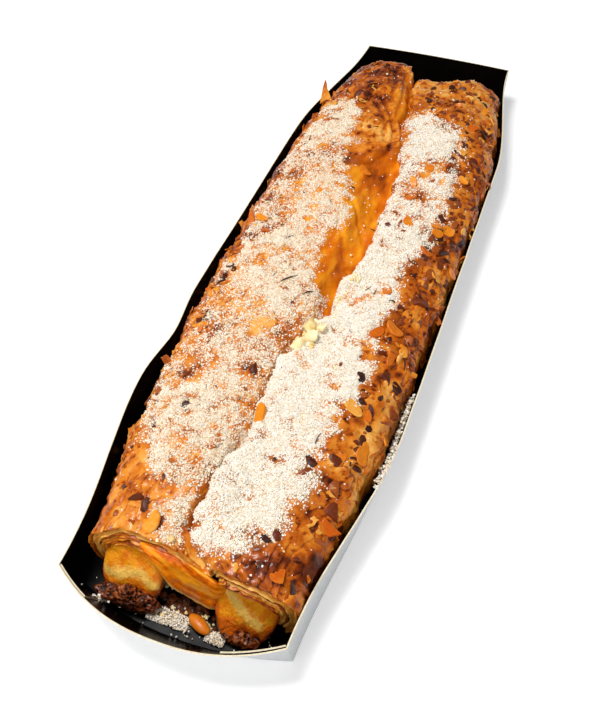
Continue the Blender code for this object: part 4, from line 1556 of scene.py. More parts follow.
class Surface:
    """The finished crust and tray, to set toppings on."""

    # where lines towards the part start, above and beside it
    ABOVE = 80.0
    ASIDE = 90.0

    def __init__(self, crusts: list[Piece], tray: Piece) -> None:
        """Reads the faces of the crusts, and of all pieces together."""
        self.crust = self._tree(crusts)
        self.whole = self._tree([*crusts, tray])

    def _tree(self, pieces: list[Piece]) -> BVHTree:
        """Search tree over some pieces' faces, in millimetres."""
        points: list[Vector] = []
        faces: list[tuple[int, ...]] = []
        for piece in pieces:
            start = len(points)
            points += [vertex.co / MM for vertex in piece.data.vertices]
            faces += [tuple(start + i for i in face.vertices) for face in piece.data.polygons]
        return BVHTree.FromPolygons(points, faces)

    def below(self, x: float, y: float, whole: bool = False) -> tuple[Vector, Vector] | None:
        """Point and normal under a place of the plan, on the crust or also on the tray."""
        return self._hit(self.whole if whole else self.crust, Vector((x, y, self.ABOVE)), Vector((0, 0, -1)))

    def beside(self, side: float, y: float, z: float) -> tuple[Vector, Vector] | None:
        """Point and normal of the crust's flank at a height; side is -1 for the left one."""
        return self._hit(self.crust, Vector((side * self.ASIDE, y, z)), Vector((-side, 0, 0)))

    def _hit(self, tree: BVHTree, start: Vector, way: Vector) -> tuple[Vector, Vector] | None:
        """First point that a straight line meets.

        Args:
            tree: Faces to look through.
            start: Where the line starts.
            way: Its direction.

        Returns:
            The point and its outward normal, or None.
        """
        place, normal, _, _ = tree.ray_cast(start, way)
        if place is None:
            return None
        return place, normal if normal.dot(way) < 0 else -normal


# ---- open front end


@dataclass
class FrontLayers:
    """Sheets of dough that show round both mouths at the front: distance inside the crust and tone of each."""

    thickness: float = 1.0
    depth: float = 9.0
    columns: int = 220
    rows: int = 12
    left: Table = (
        (1.3, 0.1), (2.3, 0.25), (3.3, 0.02), (4.4, 0.65), (5.5, 0.3), (6.6, 0.4), (7.8, 0.85), (9.0, 0.4),
    )
    right: Table = ((1.2, 0.1), (2.2, 0.45), (3.3, 0.0), (4.4, 0.7), (5.6, 0.15), (6.8, 0.5), (8.0, 0.85))

    def build(self) -> list[Piece]:
        """Models every sheet of both sides."""
        made = []
        sides = (Side.LEFT, self.left, (0.03, 0.48)), (Side.RIGHT, self.right, (0.53, 0.985))
        for side, sheets, span in sides:
            for number, (inset, tone) in enumerate(sheets):
                made.append(self._sheet(side, number, inset, tone, span))
        return made

    def _sheet(
        self, side: Side, number: int, inset: float, tone: float, span: Pair
    ) -> Piece:
        """One sheet, following the crust's outline at a distance inside it.

        Args:
            side: The flap it belongs to.
            number: Its place from the outside in.
            inset: Its distance inside the crust.
            tone: How brown it is.
            span: The shares of the section between which it runs.

        Returns:
            The finished sheet.
        """
        seed = 60 + number * 3 + (30 if side is Side.RIGHT else 0)
        columns, rows = self.columns, self.rows
        u = np.linspace(*span, columns)
        x, z = BAR.crust(u, np.full_like(u, BAR.front))
        outline = np.stack([x, z], 1)
        tangent = np.gradient(outline, axis=0)
        tangent /= np.maximum(np.linalg.norm(tangent, axis=1, keepdims=True), 1e-6)
        for axis in (0, 1):
            padded = np.pad(tangent[:, axis], 8, mode="edge")
            tangent[:, axis] = np.convolve(padded, np.ones(17) / 17, mode="valid")
        inward = np.stack([tangent[:, 1], -tangent[:, 0]], 1)
        s = np.linspace(0, 1, columns)
        place = np.stack([s * 150, np.full(columns, number * 9.0), np.zeros(columns)], 1)
        middle = outline + inward * (inset + 0.4 * rough(place, 14.0, seed, 2))[:, None]
        lead = BAR.ends_shaped(middle[:, 0], np.full(columns, BAR.front))
        top = ease((middle[:, 1] - 14) / 10)
        lead = lead + 0.5 - 0.42 * number * top + 0.45 * rough(place, 9.0, seed + 1, 2)
        grid = np.zeros((rows, columns, 3))
        for r in range(rows):
            back = self.depth * (r / (rows - 1)) ** 1.5
            sag = 0.5 * math.exp(-back / 1.5)
            grid[r, :, 0] = middle[:, 0] + inward[:, 0] * sag
            grid[r, :, 2] = middle[:, 1] + inward[:, 1] * sag
            grid[r, :, 1] = lead + back
        grid += 0.1 * rough(grid, 2.4, seed + 2, 2)[..., None]
        grid[..., 2] = np.maximum(grid[..., 2], DOUGH_BASE + 0.5)
        # each sheet darkens further back into the open end: painted shade
        tones = tone + 0.22 * rough(grid, 7.0, seed + 4, 2) + 0.5 * ease(np.linspace(-0.1, 1.0, rows))[:, None]
        name = f"layer_{side.value}_{number + 1}"
        piece = card_piece(name, grid, self.thickness, 50, brown=np.clip(tones, 0, 1))
        return settle(piece, LayerFinish(), ("pastry_dough",))


@dataclass
class Custard:
    """One run of custard, swelling out of its mouth."""

    side: Side
    centre: Pair
    half: Pair
    ends: Pair
    band: Path
    exponent: float = 3.4
    inner_share: float = 0.78
    swell: float = 4.0
    near_run: float = 12.0
    back_round: float = 5.0
    lean_out: float = 8.5
    foot_step: float = 6.0

    def build(self) -> Piece:
        """Models the run with its grainy front and dresses it."""
        columns = 160
        angle = -np.linspace(0, 2 * math.pi, columns, endpoint=False)
        c, s = np.cos(angle), np.sin(angle)
        round_x = np.sign(c) * np.abs(c) ** (2 / self.exponent)
        round_z = np.sign(s) * np.abs(s) ** (2 / self.exponent)
        front, back = self.ends
        stations = [
            (front + self.swell * (1 - math.cos(t * math.pi / 2)) ** 1.2, math.sin(t * math.pi / 2))
            for t in np.linspace(0.02, 1.0, 70)
        ]
        stations += [(y, 1.0) for y in np.linspace(front + self.swell + 1.5, back - self.back_round, 40)]
        stations += [
            (back - self.back_round * (1 - math.cos((1 - t) * math.pi / 2)), math.sin(t * math.pi / 2))
            for t in np.linspace(0.95, 0.05, 14)
        ]
        rings = []
        for y, reach in stations:
            share = self.inner_share + (1 - self.inner_share) * float(ease(np.array((-150 - y) / 30)))
            x = self.centre[0] + (self.half[0] * share - GAP) * reach * round_x
            z = self.centre[1] + (self.half[1] * share - GAP) * reach * round_z - (1 - share) * 3.0
            rings.append(np.stack([x, np.full(columns, y), z], 1))
        points = np.array(rings)
        inner_end = front + self.near_run
        near = ease((inner_end - points[..., 1]) / 8)
        lumps = layered(points, (1.0, 9.0, 71, 2), (0.4, 3.4, 72, 3), (0.2, 1.3, 73, 2))
        x, z = points[..., 0], points[..., 2]
        cream = 0.8 * hump(line_distance(x, z, self.band), 0, 2.6)
        step = self.lean_out * ease((z - 9) / 24) - self.foot_step * ease((22 - z) / 20) - 0.8 * cream
        points[..., 1] += near * (step - lumps - 0.4)
        drips = 1 + 0.3 * rough(points * [1.0, 0.0, 0.0], 5.0, 75, 2) * ease((10 - z) / 8)
        dripped = inner_end - (inner_end - points[..., 1]) * drips
        points[..., 1] = np.where(near > 0, dripped, points[..., 1])
        points[..., 2] = np.maximum(points[..., 2], DOUGH_BASE)
        low = ease((17 - z) / 9)
        from_centre = np.hypot((x - self.centre[0]) / self.half[0], (z - self.centre[1]) / self.half[1])
        rim = ease((from_centre - 0.75) / 0.3)
        brown = 0.1 + 0.8 * low + 0.6 * rim - 0.3 * cream + 0.8 * ease((6.0 - z) / 5)
        name = f"custard_{self.side.value}"
        ends = points[0].mean(0), points[-1].mean(0)
        piece = tube_piece(f"{name}_run", points, ends, cream=cream, brown=brown)
        shade_smooth(piece)
        return settle(piece, CustardFinish(), (name,))


@dataclass
class DrawnStrip:
    """Blade of inner dough that crosses the open front, tucked under the crust's edge."""

    upper: Rows = (
        (-19.0, -182.5, 30.0), (-15.0, -183.8, 31.0), (-8.0, -184.2, 31.0), (-1.0, -184.5, 30.3),
        (6.5, -185.3, 28.6), (13.5, -186.2, 26.0), (17.0, -183.5, 23.0),
    )
    lower: Rows = (
        (-18.0, -183.0, 28.0), (-14.5, -186.0, 26.5), (-10.5, -187.8, 23.0), (-6.0, -189.0, 15.5),
        (2.0, -189.8, 9.5), (11.5, -189.5, 8.0), (15.0, -185.0, 6.5),
    )
    thick: float = 1.4

    def build(self) -> Piece:
        """Models the strip and dresses it."""
        stations, columns = 120, 130
        t = np.linspace(0, 1, stations)
        upper, lower = self._edge(self.upper, t), self._edge(self.lower, t)
        centre, across = (upper + lower) / 2, (upper - lower) / 2
        forward = np.gradient(centre, axis=0)
        outward = np.cross(across, forward)
        outward /= np.linalg.norm(outward, axis=1, keepdims=True)
        half = np.linalg.norm(across, axis=1)
        angle = np.linspace(0, 2 * math.pi, columns, endpoint=False)
        wide, deep = np.cos(angle), np.sin(angle)
        flat = np.stack(np.broadcast_arrays(half[:, None] * wide[None], t[:, None] * 5.0, 0.0), -1)
        # ridge sets the strands' height and, in their colour, painted highlight on the raised ones
        ridge = 0.5 + 0.6 * rough(flat, 1.6, 83, 3)
        bow = self.thick * np.sign(deep) * np.abs(deep) ** 0.6 + 1.6 * (1 - wide**2) * (deep > 0)
        points = (
            centre[:, None]
            + across[:, None] * wide[None, :, None]
            + outward[:, None] * (bow[None] + 0.6 * ridge * np.maximum(deep, 0)[None])[..., None]
        )
        points += outward[:, None] * (0.7 * rough(points, 7.0, 81, 3))[..., None]
        points[..., 2] = np.maximum(points[..., 2], DOUGH_BASE)
        pale = ease((-0.7 - wide)[None] / 0.25) * ease((t - 0.2) / 0.2)[:, None]
        ends = points[0].mean(0), points[-1].mean(0)
        piece = tube_piece("drawn_strip", points, ends, ridge=ridge, pale=pale)
        shade_smooth(piece)
        return settle(piece, StripFinish(), ("pastry_dough",))

    def _edge(self, knots: Rows, t: Array) -> Array:
        """Smooth line through an edge's knots."""
        places = np.linspace(0, 1, len(knots))
        return np.stack([along(tuple(zip(places, [knot[axis] for knot in knots])), t) for axis in range(3)], 1)


@dataclass
class RimFlake:
    """Loose shard of crust that stands up over the tray's left rim."""

    foot: Rows = ((-54.0, 121.5, 26.0), (-46.5, 119.5, 31.0))
    tip: Triple = (-54.5, 131.0, 36.5)
    thick: float = 0.9

    def build(self) -> Piece:
        """Models the shard and dresses it."""
        up, across = np.meshgrid(np.linspace(0, 0.97, 12), np.linspace(0, 1, 8), indexing="ij")
        first, second, tip = (np.array(place) for place in (*self.foot, self.tip))
        low = first + (second - first) * across[..., None]
        grid = low + (tip - low) * (up**0.8)[..., None]
        grid[..., 2] += 1.2 * np.sin(across * math.pi) * (1 - up)
        grid += 0.3 * rough(grid, 3.0, 87, 2)[..., None]
        piece = card_piece("rim_flake", grid, self.thick, 50, brown=0.3 + 0.5 * up)
        return settle(piece, LayerFinish())


@dataclass
class BurntLeak:
    """Lump of leaked custard, burnt to a sponge, or a smooth almond that lies beside it."""

    node: str
    centre: Pair
    half: Triple
    holes: Rows = ()
    turn: float = 0.0
    spongy: bool = True
    foot: float = 0.55
    off_wall: float = 1.8
    bubble: float = 2.3

    def build(self) -> Piece:
        """Models the lump from a sphere and dresses it."""
        deselect_all()
        bpy.ops.mesh.primitive_ico_sphere_add(subdivisions=7 if self.spongy else 5, radius=1.0)
        piece = named(f"{self.node}_lump")
        height = self.half[2] / (1 + self.foot)
        body = read_points(piece.data) * [self.half[0], self.half[1], height]
        dent = np.zeros(len(body))
        if self.spongy:
            distance, own = spots(body + 0.5 * rough(body, 1.6, 95)[:, None], self.bubble, 96)
            dent = ease((0.55 - distance) / 0.35) * (0.4 + 0.6 * own)
            lumps = 1.04 + layered(body, (0.17, 6.0, 91, 2), (0.12, 2.4, 92, 2)) - 0.2 * dent
            body = body * lumps[:, None]
        body[:, 2] = np.maximum(body[:, 2], -self.foot * height)
        cos_turn, sin_turn = math.cos(self.turn), math.sin(self.turn)
        x = body[:, 0] * cos_turn - body[:, 1] * sin_turn + self.centre[0]
        y = body[:, 0] * sin_turn + body[:, 1] * cos_turn + self.centre[1]
        points = np.stack([x, y, body[:, 2] + DOUGH_BASE + self.foot * height], 1)
        middle = np.array([self.centre[0], self.centre[1] + 2.0, height * 0.5])
        for hole_x, hole_y, hole_z, reach in self.holes:
            away = np.linalg.norm(points - [hole_x, hole_y, hole_z], axis=1)
            hole = ease(1.25 - away / reach)
            points += (middle - points) * (0.6 * hole)[:, None]
            dent = np.maximum(dent, hole)
        wall = TRAY.front(points[:, 0], points[:, 2]) + TRAY.card
        points[:, 1] = np.maximum(points[:, 1], wall + self.off_wall)
        points[:, 2] = np.maximum(points[:, 2], DOUGH_BASE)
        move_points(piece, points)
        shade_smooth(piece)
        if self.spongy:
            # attribute light: painted shade in the bubbles and holes, painted light on the upper half
            paint(piece, light=-0.8 * dent + 0.3 * ease((points[:, 2] - height) / height))
            return settle(piece, BurntFinish(), (self.node,))
        paint(piece, shade=np.full(len(points), 0.72))
        return settle(piece, AlmondFinish(), (self.node,))


# ---- toppings


def unit_model(piece: Piece, flat: bool = False) -> Model:
    """Model scaled to a box of side 1, or only its outline when it is flat.

    Args:
        piece: The modelled shape.
        flat: Whether its height is kept in proportion.

    Returns:
        The model.
    """
    model = Model.of(piece)
    model.points -= (model.points.max(0) + model.points.min(0)) / 2
    reach = np.maximum(np.abs(model.points).max(0) * 2, 1e-6)
    model.points /= np.array([reach[0], reach[1], max(reach[0], reach[1]) if flat else reach[2]])
    return model


def chop(piece: Piece, rng: Random, cuts: int, near: float, upright: bool) -> None:
    """Cuts flat facets off a piece.

    Args:
        piece: What is cut, with its middle at the origin.
        rng: Random numbers.
        cuts: How many facets.
        near: How close to the middle the closest one may lie.
        upright: Whether the facets stand upright.
    """
    activate(piece)
    bpy.ops.object.mode_set(mode="EDIT")
    for _ in range(cuts):
        way = rng.normal(size=3) * ([1, 1, 0.12] if upright else [1, 1, 1])
        way /= np.linalg.norm(way)
        bpy.ops.mesh.select_all(action="SELECT")
        at = tuple(way * rng.uniform(near, 0.4))
        bpy.ops.mesh.bisect(plane_co=at, plane_no=tuple(way), use_fill=True, clear_outer=True)
    bpy.ops.object.mode_set(mode="OBJECT")


def nut_chunk(rng: Random) -> Model:
    """Chunk with flat chopped faces."""
    deselect_all()
    bpy.ops.mesh.primitive_ico_sphere_add(subdivisions=2, radius=0.5)
    piece = named("nut_chunk")
    chop(piece, rng, int(rng.integers(5, 9)), 0.15, False)
    return unit_model(piece)


def almond_chip(rng: Random) -> Model:
    """Flat chip of a sliced almond, broken at some sides."""
    deselect_all()
    bpy.ops.mesh.primitive_cylinder_add(vertices=14, radius=0.5, depth=0.14, end_fill_type="TRIFAN")
    piece = named("almond_chip")
    bpy.ops.object.mode_set(mode="EDIT")
    bpy.ops.mesh.select_all(action="SELECT")
    bpy.ops.mesh.bevel(offset=0.035, segments=1)
    bpy.ops.object.mode_set(mode="OBJECT")
    chop(piece, rng, int(rng.integers(1, 4)), 0.18, True)
    model = unit_model(piece, True)
    x, y, z = model.points.T
    model.points[:, 2] = z + rng.uniform(-0.25, 0.35) * x**2 + rng.uniform(-0.3, 0.3) * y**2
    return model


def curled_flake(rng: Random) -> Model:
    """Thin ragged flake that lifts at one end."""
    deselect_all()
    bpy.ops.mesh.primitive_grid_add(x_subdivisions=5, y_subdivisions=6, size=1.0)
    piece = named("curled_flake")
    for vertex in piece.data.vertices:
        x, y, _ = vertex.co
        ragged = rng.uniform(0.8, 1.05)
        lift = 0.22 * max(0.0, y + 0.1) ** 1.5 * 2 + rng.uniform(-0.015, 0.015) + 0.1 * x * x
        vertex.co = (x * ragged * (1 - 0.5 * abs(y) ** 2 * 2), y * ragged, lift)
    apply_modifier(piece, "SOLIDIFY", thickness=0.05, offset=0.0)
    return unit_model(piece, True)


def skin_sliver(rng: Random) -> Model:
    """Hair-thin bent shred."""
    deselect_all()
    bpy.ops.mesh.primitive_grid_add(x_subdivisions=1, y_subdivisions=7, size=1.0)
    piece = named("skin_sliver")
    bend = rng.uniform(-0.4, 0.4)
    for vertex in piece.data.vertices:
        x, y, _ = vertex.co
        vertex.co = (x * 0.09 * (1.1 - abs(y) * 1.6) + bend * (0.25 - y * y), y, 0.15 * (0.25 - y * y))
    apply_modifier(piece, "SOLIDIFY", thickness=0.05, offset=0.0)
    return Model.of(piece)


def crumb(rng: Random) -> Model:
    """Small rough lump."""
    deselect_all()
    bpy.ops.mesh.primitive_ico_sphere_add(subdivisions=2, radius=0.5)
    model = unit_model(named("crumb"))
    model.points *= (1 + 0.55 * rough(model.points * 4.0 + rng.uniform(0, 90), 1.0, 121, 3))[:, None]
    return model


def sugar_crystal(rng: Random) -> Model:
    """Three-sided block with uneven corners."""
    deselect_all()
    bpy.ops.mesh.primitive_cylinder_add(vertices=3, radius=0.5, depth=0.8)
    model = unit_model(named("sugar_crystal"))
    model.points *= rng.uniform(0.7, 1.1, model.points.shape)
    return model


CRUST_FOOT = 12.0


@dataclass(frozen=True)
class Topping:
    """One kind of topping: its models, its finish and where it lies."""

    name: str
    shape: Callable[[Random], Model]
    finish: Finish
    slot: str
    # x, y, length, width, turn in degrees from the bar's length
    placed: Rows = ()
    # left x, right x, front y, back y, how many, length; z for x on a flank, whose side is the seventh
    zones: Rows = ()
    shades: Pair = (0.1, 0.9)
    slim: Pair = (0.5, 0.9)
    flat: Pair = (0.3, 0.5)
    sizes: Pair = (0.5, 1.35)
    lift: Pair = (-0.2, 0.0)
    lean: float = 0.2
    lowest: float = CRUST_FOOT
    variants: int = 7
    smooth: float = 35.0
    attribute: str = "shade"

    def build(self, surface: Surface, seed: int) -> Piece:
        """Models the kind, sets every copy on the surface and joins them.

        Args:
            surface: What the copies lie on.
            seed: Seed of the kind's random numbers.

        Returns:
            All copies as one piece.
        """
        rng = np.random.default_rng(seed)
        scatter = Scatter([self.shape(rng) for _ in range(self.variants)])
        on_tray = self.lowest < CRUST_FOOT
        for side, x, y, length, width, turn in self._wanted(rng):
            hit = surface.beside(side, y, x) if side else surface.below(x, y, on_tray)
            if hit is None or hit[0].z < self.lowest:
                continue
            normal = np.array(hit[1])
            thick = length * rng.uniform(*self.flat)
            roll, pitch = rng.normal(0, self.lean), rng.normal(0, self.lean)
            spin = turns(np.array([[roll, pitch, math.radians(turn)]]))
            place = np.array(hit[0]) + normal * length * rng.uniform(*self.lift)
            scatter.add(
                int(rng.integers(self.variants)), place[None], standing_on(normal[None]) @ spin,
                np.array([[width, length, thick]]), np.array([rng.uniform(*self.shades)]),
            )
        piece = scatter.piece(self.name, self.attribute)
        weld(piece, 0.0005)
        shade_smooth(piece, self.smooth)
        return settle(piece, self.finish)

    def _wanted(self, rng: Random) -> list[tuple[float, ...]]:
        """Every copy's side, x, y, length, width and turn; the side is 0 for one laid from above."""
        wanted = [(0.0, *row) for row in self.placed]
        for left, right, front, back, count, size, *side in self.zones:
            for _ in range(int(count)):
                length = size * rng.uniform(*self.sizes)
                x, y = rng.uniform(left, right), rng.uniform(front, back)
                width, turn = length * rng.uniform(*self.slim), rng.uniform(0, 360)
                wanted.append((side[0] if side else 0.0, x, y, length, width, turn))
        return wanted


def toppings() -> tuple[Topping, ...]:
    """Every kind of topping with its places."""
    nuts = Topping(
        "chopped_nuts", nut_chunk, NutFinish(), "almond",
        placed=(
            (-28, -167, 9, 7, 20), (-36, -165, 6, 5, 80), (-22, -171, 6, 5, 40), (-14, -176, 6, 5, 10),
            (45, -172, 9, 6, 10), (42, -181, 7, 5, 80), (45, -146, 8.5, 6, 30), (31, -130, 7.5, 6.5, 60),
            (31, -137, 6, 5, 0), (43, -138, 7.5, 5, 20), (47, -28, 10, 7, 80), (47, -38, 7.5, 6, 0),
            (43, -43, 6, 5, 0), (37, -38, 5, 4, 0), (43, 12, 8, 5, 30), (50, 9, 8, 5, -40), (46, 17, 7, 5, 10),
            (49, -10, 7, 5, 20), (56, -6, 6, 5, 0), (43, -18, 6, 4, 40), (51, -17, 6.5, 5, 10),
            (36, -13, 5, 4, 0), (47, -77, 7.5, 5, 20), (37, -84, 7, 5, 0), (45, -97, 7, 5, 30),
            (53, -98, 7, 5, 0), (47, -112, 6.5, 5, 50), (-28, -122, 9, 8, 0), (-38, -134, 8, 6, 60),
            (-43, -130, 5, 4, 0), (-44, -73, 7, 5, 0), (-48, -22, 9, 4, 0), (-46, -43, 6, 4, 0),
            (-41, -14, 5, 4, 30), (-47, 20, 7, 5, 0), (-29, 117, 8, 6, 0), (25, -169, 9, 6, 60),
            (31, -166, 7, 5, 10), (26, -80, 5, 4, 0), (-7, -96, 6.5, 5, 30), (43, 33, 6.5, 5, 0),
            (48, 83, 6.5, 5, 40), (45, 66, 6.5, 5, 0), (38, 104, 6.5, 5, 0),
        ),
        zones=(
            (38, 50, -180, -110, 16, 5.0), (39, 55, -110, -30, 22, 5.0), (40, 57, -30, 62, 40, 5.4),
            (37, 56, 58, 112, 30, 5.4), (10, 50, 108, 160, 52, 5.6), (-53, -42, -150, 92, 40, 4.0),
            (-46, -8, -180, -150, 10, 3.0), (-44, -14, 126, 160, 7, 4.0), (-42, -6, -140, 100, 26, 2.8),
            (8, 36, -170, -10, 12, 2.6), (14, 36, 10, 70, 16, 3.6), (14, 36, -160, 150, 46, 4.4, 1.0),
            (16, 34, -160, 150, 26, 4.2, -1.0),
        ),
        shades=(0.0, 0.95), lift=(-0.2, -0.02),
    )
    almonds = Topping(
        "almond_chips", almond_chip, AlmondFinish(), "almond",
        placed=(
            (-17, -176, 10, 8, 30), (4.5, -119, 13, 5.5, -6), (39, -100, 9, 6, 60), (42, -51, 9.5, 6, 70),
            (36, -57, 8.5, 4.5, -30), (43, 3, 8.5, 5, 80), (23, 48, 8, 5, 20), (25, 36, 7, 5, -40),
            (-37, -9, 6.5, 5.5, 0), (-44, 2, 9, 4, 60), (-50, 3, 9.5, 5, 10), (-5, 55, 8, 4, 60),
            (36, -180, 7, 6, 20), (48, -118, 8.5, 6, 20), (46, -152, 9, 6, 60), (33, -31, 6.5, 4.5, 20),
            (29, 18, 6, 4.5, 50), (22, -43, 5, 3.5, 80), (29, 60, 7, 5, 10), (49, -64, 8, 5, 15),
        ),
        zones=(
            (38, 54, -175, -60, 9, 5.4), (38, 56, -60, 60, 11, 5.6), (30, 54, 60, 110, 8, 5.2),
            (14, 50, 108, 160, 12, 5.0), (-51, -38, -150, 90, 12, 4.6), (-40, -10, 110, 160, 4, 5.0),
            (16, 34, -160, 150, 12, 5.0, 1.0),
        ),
        shades=(0.2, 1.1), flat=(0.8, 1.1), lift=(0.0, 0.06), lean=0.12, smooth=40.0,
    )
    flakes = Topping(
        "pastry_flakes", curled_flake, LayerFinish(), "crust",
        placed=((-30.5, 118, 9, 4, 20), (-50, -60, 8, 5, 0), (-50, -98, 8, 5, 10), (-46, -140, 8, 5, 20)),
        zones=(
            (-54, -40, -175, 140, 50, 5.5), (40, 57, -180, 140, 30, 5.0), (-40, 40, -184, -174, 16, 4.0),
            (-40, 0, 100, 168, 12, 5.0), (4, 44, 120, 165, 16, 5.0), (10, 34, -175, 160, 50, 6.0, -1.0),
            (10, 34, -175, 160, 50, 6.0, 1.0),
        ),
        shades=(0.15, 0.75), slim=(0.4, 0.8), flat=(0.8, 1.1), lift=(0.0, 0.03), lean=0.15, smooth=60.0,
        attribute="brown",
    )
    slivers = Topping(
        "nut_slivers", skin_sliver, SliverFinish(), "almond",
        placed=(
            (-12, -40, 11, 9, -40), (-1.5, -45, 8, 7, -40), (12, 16, 6, 6, 60), (28, -35, 6, 5, 0),
            (30.5, -121.5, 7, 7, 0), (51, -65, 8, 8, 20), (53, -62, 7, 6, -30), (-22, -11, 9, 8, -30),
        ),
        zones=((-42, 34, -160, 100, 46, 3.6), (36, 54, -170, 150, 24, 4.0)),
        slim=(0.6, 1.0), flat=(0.8, 1.0), lift=(0.02, 0.06), smooth=60.0,
    )
    crumbly = LayerFinish(
        "pale_crumb", srgb(250, 234, 190), srgb(240, 208, 140), srgb(216, 156, 70), srgb(176, 96, 24)
    )
    charred = LayerFinish(
        "charred_crumb", srgb(120, 60, 22), srgb(84, 38, 14), srgb(56, 24, 10), srgb(30, 12, 6)
    )
    burnt = Topping(
        "burnt_crumbs", crumb, charred, "burnt_custard",
        zones=((-11, 15, -196.5, -189, 70, 2.4), (-8, 8, -192, -188, 24, 3.4)),
        shades=(0.0, 0.9), slim=(0.7, 1.0), flat=(0.5, 0.8), lift=(0.1, 0.3), lowest=0.0, smooth=60.0,
        attribute="brown",
    )
    crumbs = Topping(
        "pale_crumbs", crumb, crumbly, "crust",
        placed=(
            (6, -77, 6.5, 5.5, 0), (8.5, -66, 8, 6, 0), (9.5, -71, 7, 5.5, 30), (8, -61.5, 6, 5, 0),
            (12, -65, 5, 4, 0), (4.5, -72, 5, 4, 0),
        ),
        zones=(
            (4, 12, -76, -60, 26, 2.2), (15, 19, -34, -26, 14, 1.8), (12, 16, -58, -38, 14, 1.6),
            (-14, -6, -186, -180, 10, 2.0), (-12, 16, -198, -191, 40, 1.8), (-50, 50, -182, 160, 60, 1.3),
        ),
        shades=(0.0, 0.45), slim=(0.7, 1.0), flat=(0.6, 0.9), lift=(0.1, 0.3), lowest=0.0, smooth=60.0,
        attribute="brown",
    )
    spilt = Topping(
        "spilt_sugar", sugar_crystal, SugarFinish(), "crust",
        zones=(
            (-13, 4, -200, -194, 900, 0.72), (12, 20, -200.5, -196, 380, 0.72),
            (57.5, 60.0, -148, -72, 900, 0.8), (-34, -30, -204, -200, 40, 0.8), (-40, 40, -204, -190, 60, 0.7),
        ),
        shades=(0.1, 0.8), slim=(0.8, 1.1), flat=(0.8, 1.1), lift=(0.3, 2.2), lowest=0.0, smooth=10.0,
    )
    return nuts, almonds, flakes, slivers, crumbs, spilt, burnt


@dataclass
class SugarGrains:
    """Coarse sugar strewn on the crust, in a few pieces by place."""

    flaps: list[Piece]
    grain: float = 0.58
    counts: tuple[int, int] = (42000, 60000)
    most_in_piece: int = 23000
    kinds: int = 4
    seed: int = 23

    def build(self) -> list[Piece]:
        """Strews both flaps."""
        rng = np.random.default_rng(self.seed)
        crystals = [sugar_crystal(rng) for _ in range(self.kinds)]
        made = []
        for flap, count in zip(self.flaps, self.counts):
            places = self._places(flap, count, rng)
            parts = max(1, math.ceil(len(places) / self.most_in_piece))
            order = np.argsort(places[:, 1])
            for number, chosen in enumerate(np.array_split(order, parts)):
                scatter = Scatter(crystals)
                for kind, some in enumerate(np.array_split(rng.permutation(chosen), len(crystals))):
                    total = len(some)
                    sizes = self.grain * rng.uniform(0.6, 1.35, (total, 1)) * rng.uniform(0.8, 1.2, (total, 3))
                    spin = turns(rng.uniform(0, math.tau, (total, 3)))
                    shades = rng.beta(1.1, 2.4, total) + (0.2 if flap is self.flaps[0] else -0.02)
                    scatter.add(kind, places[some], spin, sizes, shades)
                side = flap.name.removeprefix("crust_")
                piece = scatter.piece(f"sugar_{side}_{number + 1}")
                made.append(settle(piece, SugarFinish()))
        return made

    def _places(self, flap: Piece, count: int, rng: Random) -> Array:
        """Random places on a flap, dense where the sugar is.

        Args:
            flap: The crust to strew.
            count: How many grains.
            rng: Random numbers.

        Returns:
            Places just over the crust.
        """
        mesh = flap.data
        mesh.calc_loop_triangles()
        triangles = np.zeros(len(mesh.loop_triangles) * 3, np.int32)
        mesh.loop_triangles.foreach_get("vertices", triangles)
        triangles = triangles.reshape(-1, 3)
        points = read_points(mesh) / MM
        sugar = np.zeros(len(mesh.vertices), np.float32)
        mesh.attributes["sugar"].data.foreach_get("value", sugar)
        a, b, c = (points[triangles[:, k]] for k in range(3))
        cross = np.cross(b - a, c - a)
        area = np.linalg.norm(cross, axis=1)
        normal = cross / np.maximum(area, 1e-9)[:, None]
        cover = sugar[triangles].mean(1)
        centre = (a + b + c) / 3
        clumps = 0.5 + 0.5 * rough(centre, 2.6, 51, 2)
        stray = 0.002 * ease((centre[:, 2] - 26) / 6)
        strewn = cover**1.2 * np.clip(cover + 0.7 * clumps - 0.2, 0, 1.2) + stray
        weight = area * np.clip(normal[:, 2], 0, 1) * strewn
        chosen = rng.choice(len(area), count, p=weight / weight.sum())
        r1, r2 = np.sqrt(rng.uniform(size=count))[:, None], rng.uniform(size=count)[:, None]
        places = a[chosen] * (1 - r1) + b[chosen] * r1 * (1 - r2) + c[chosen] * r1 * r2
        lift = rng.uniform(-0.1, 0.35, count) * cover[chosen] + 0.05
        return places + normal[chosen] * lift[:, None]


# ---- tray


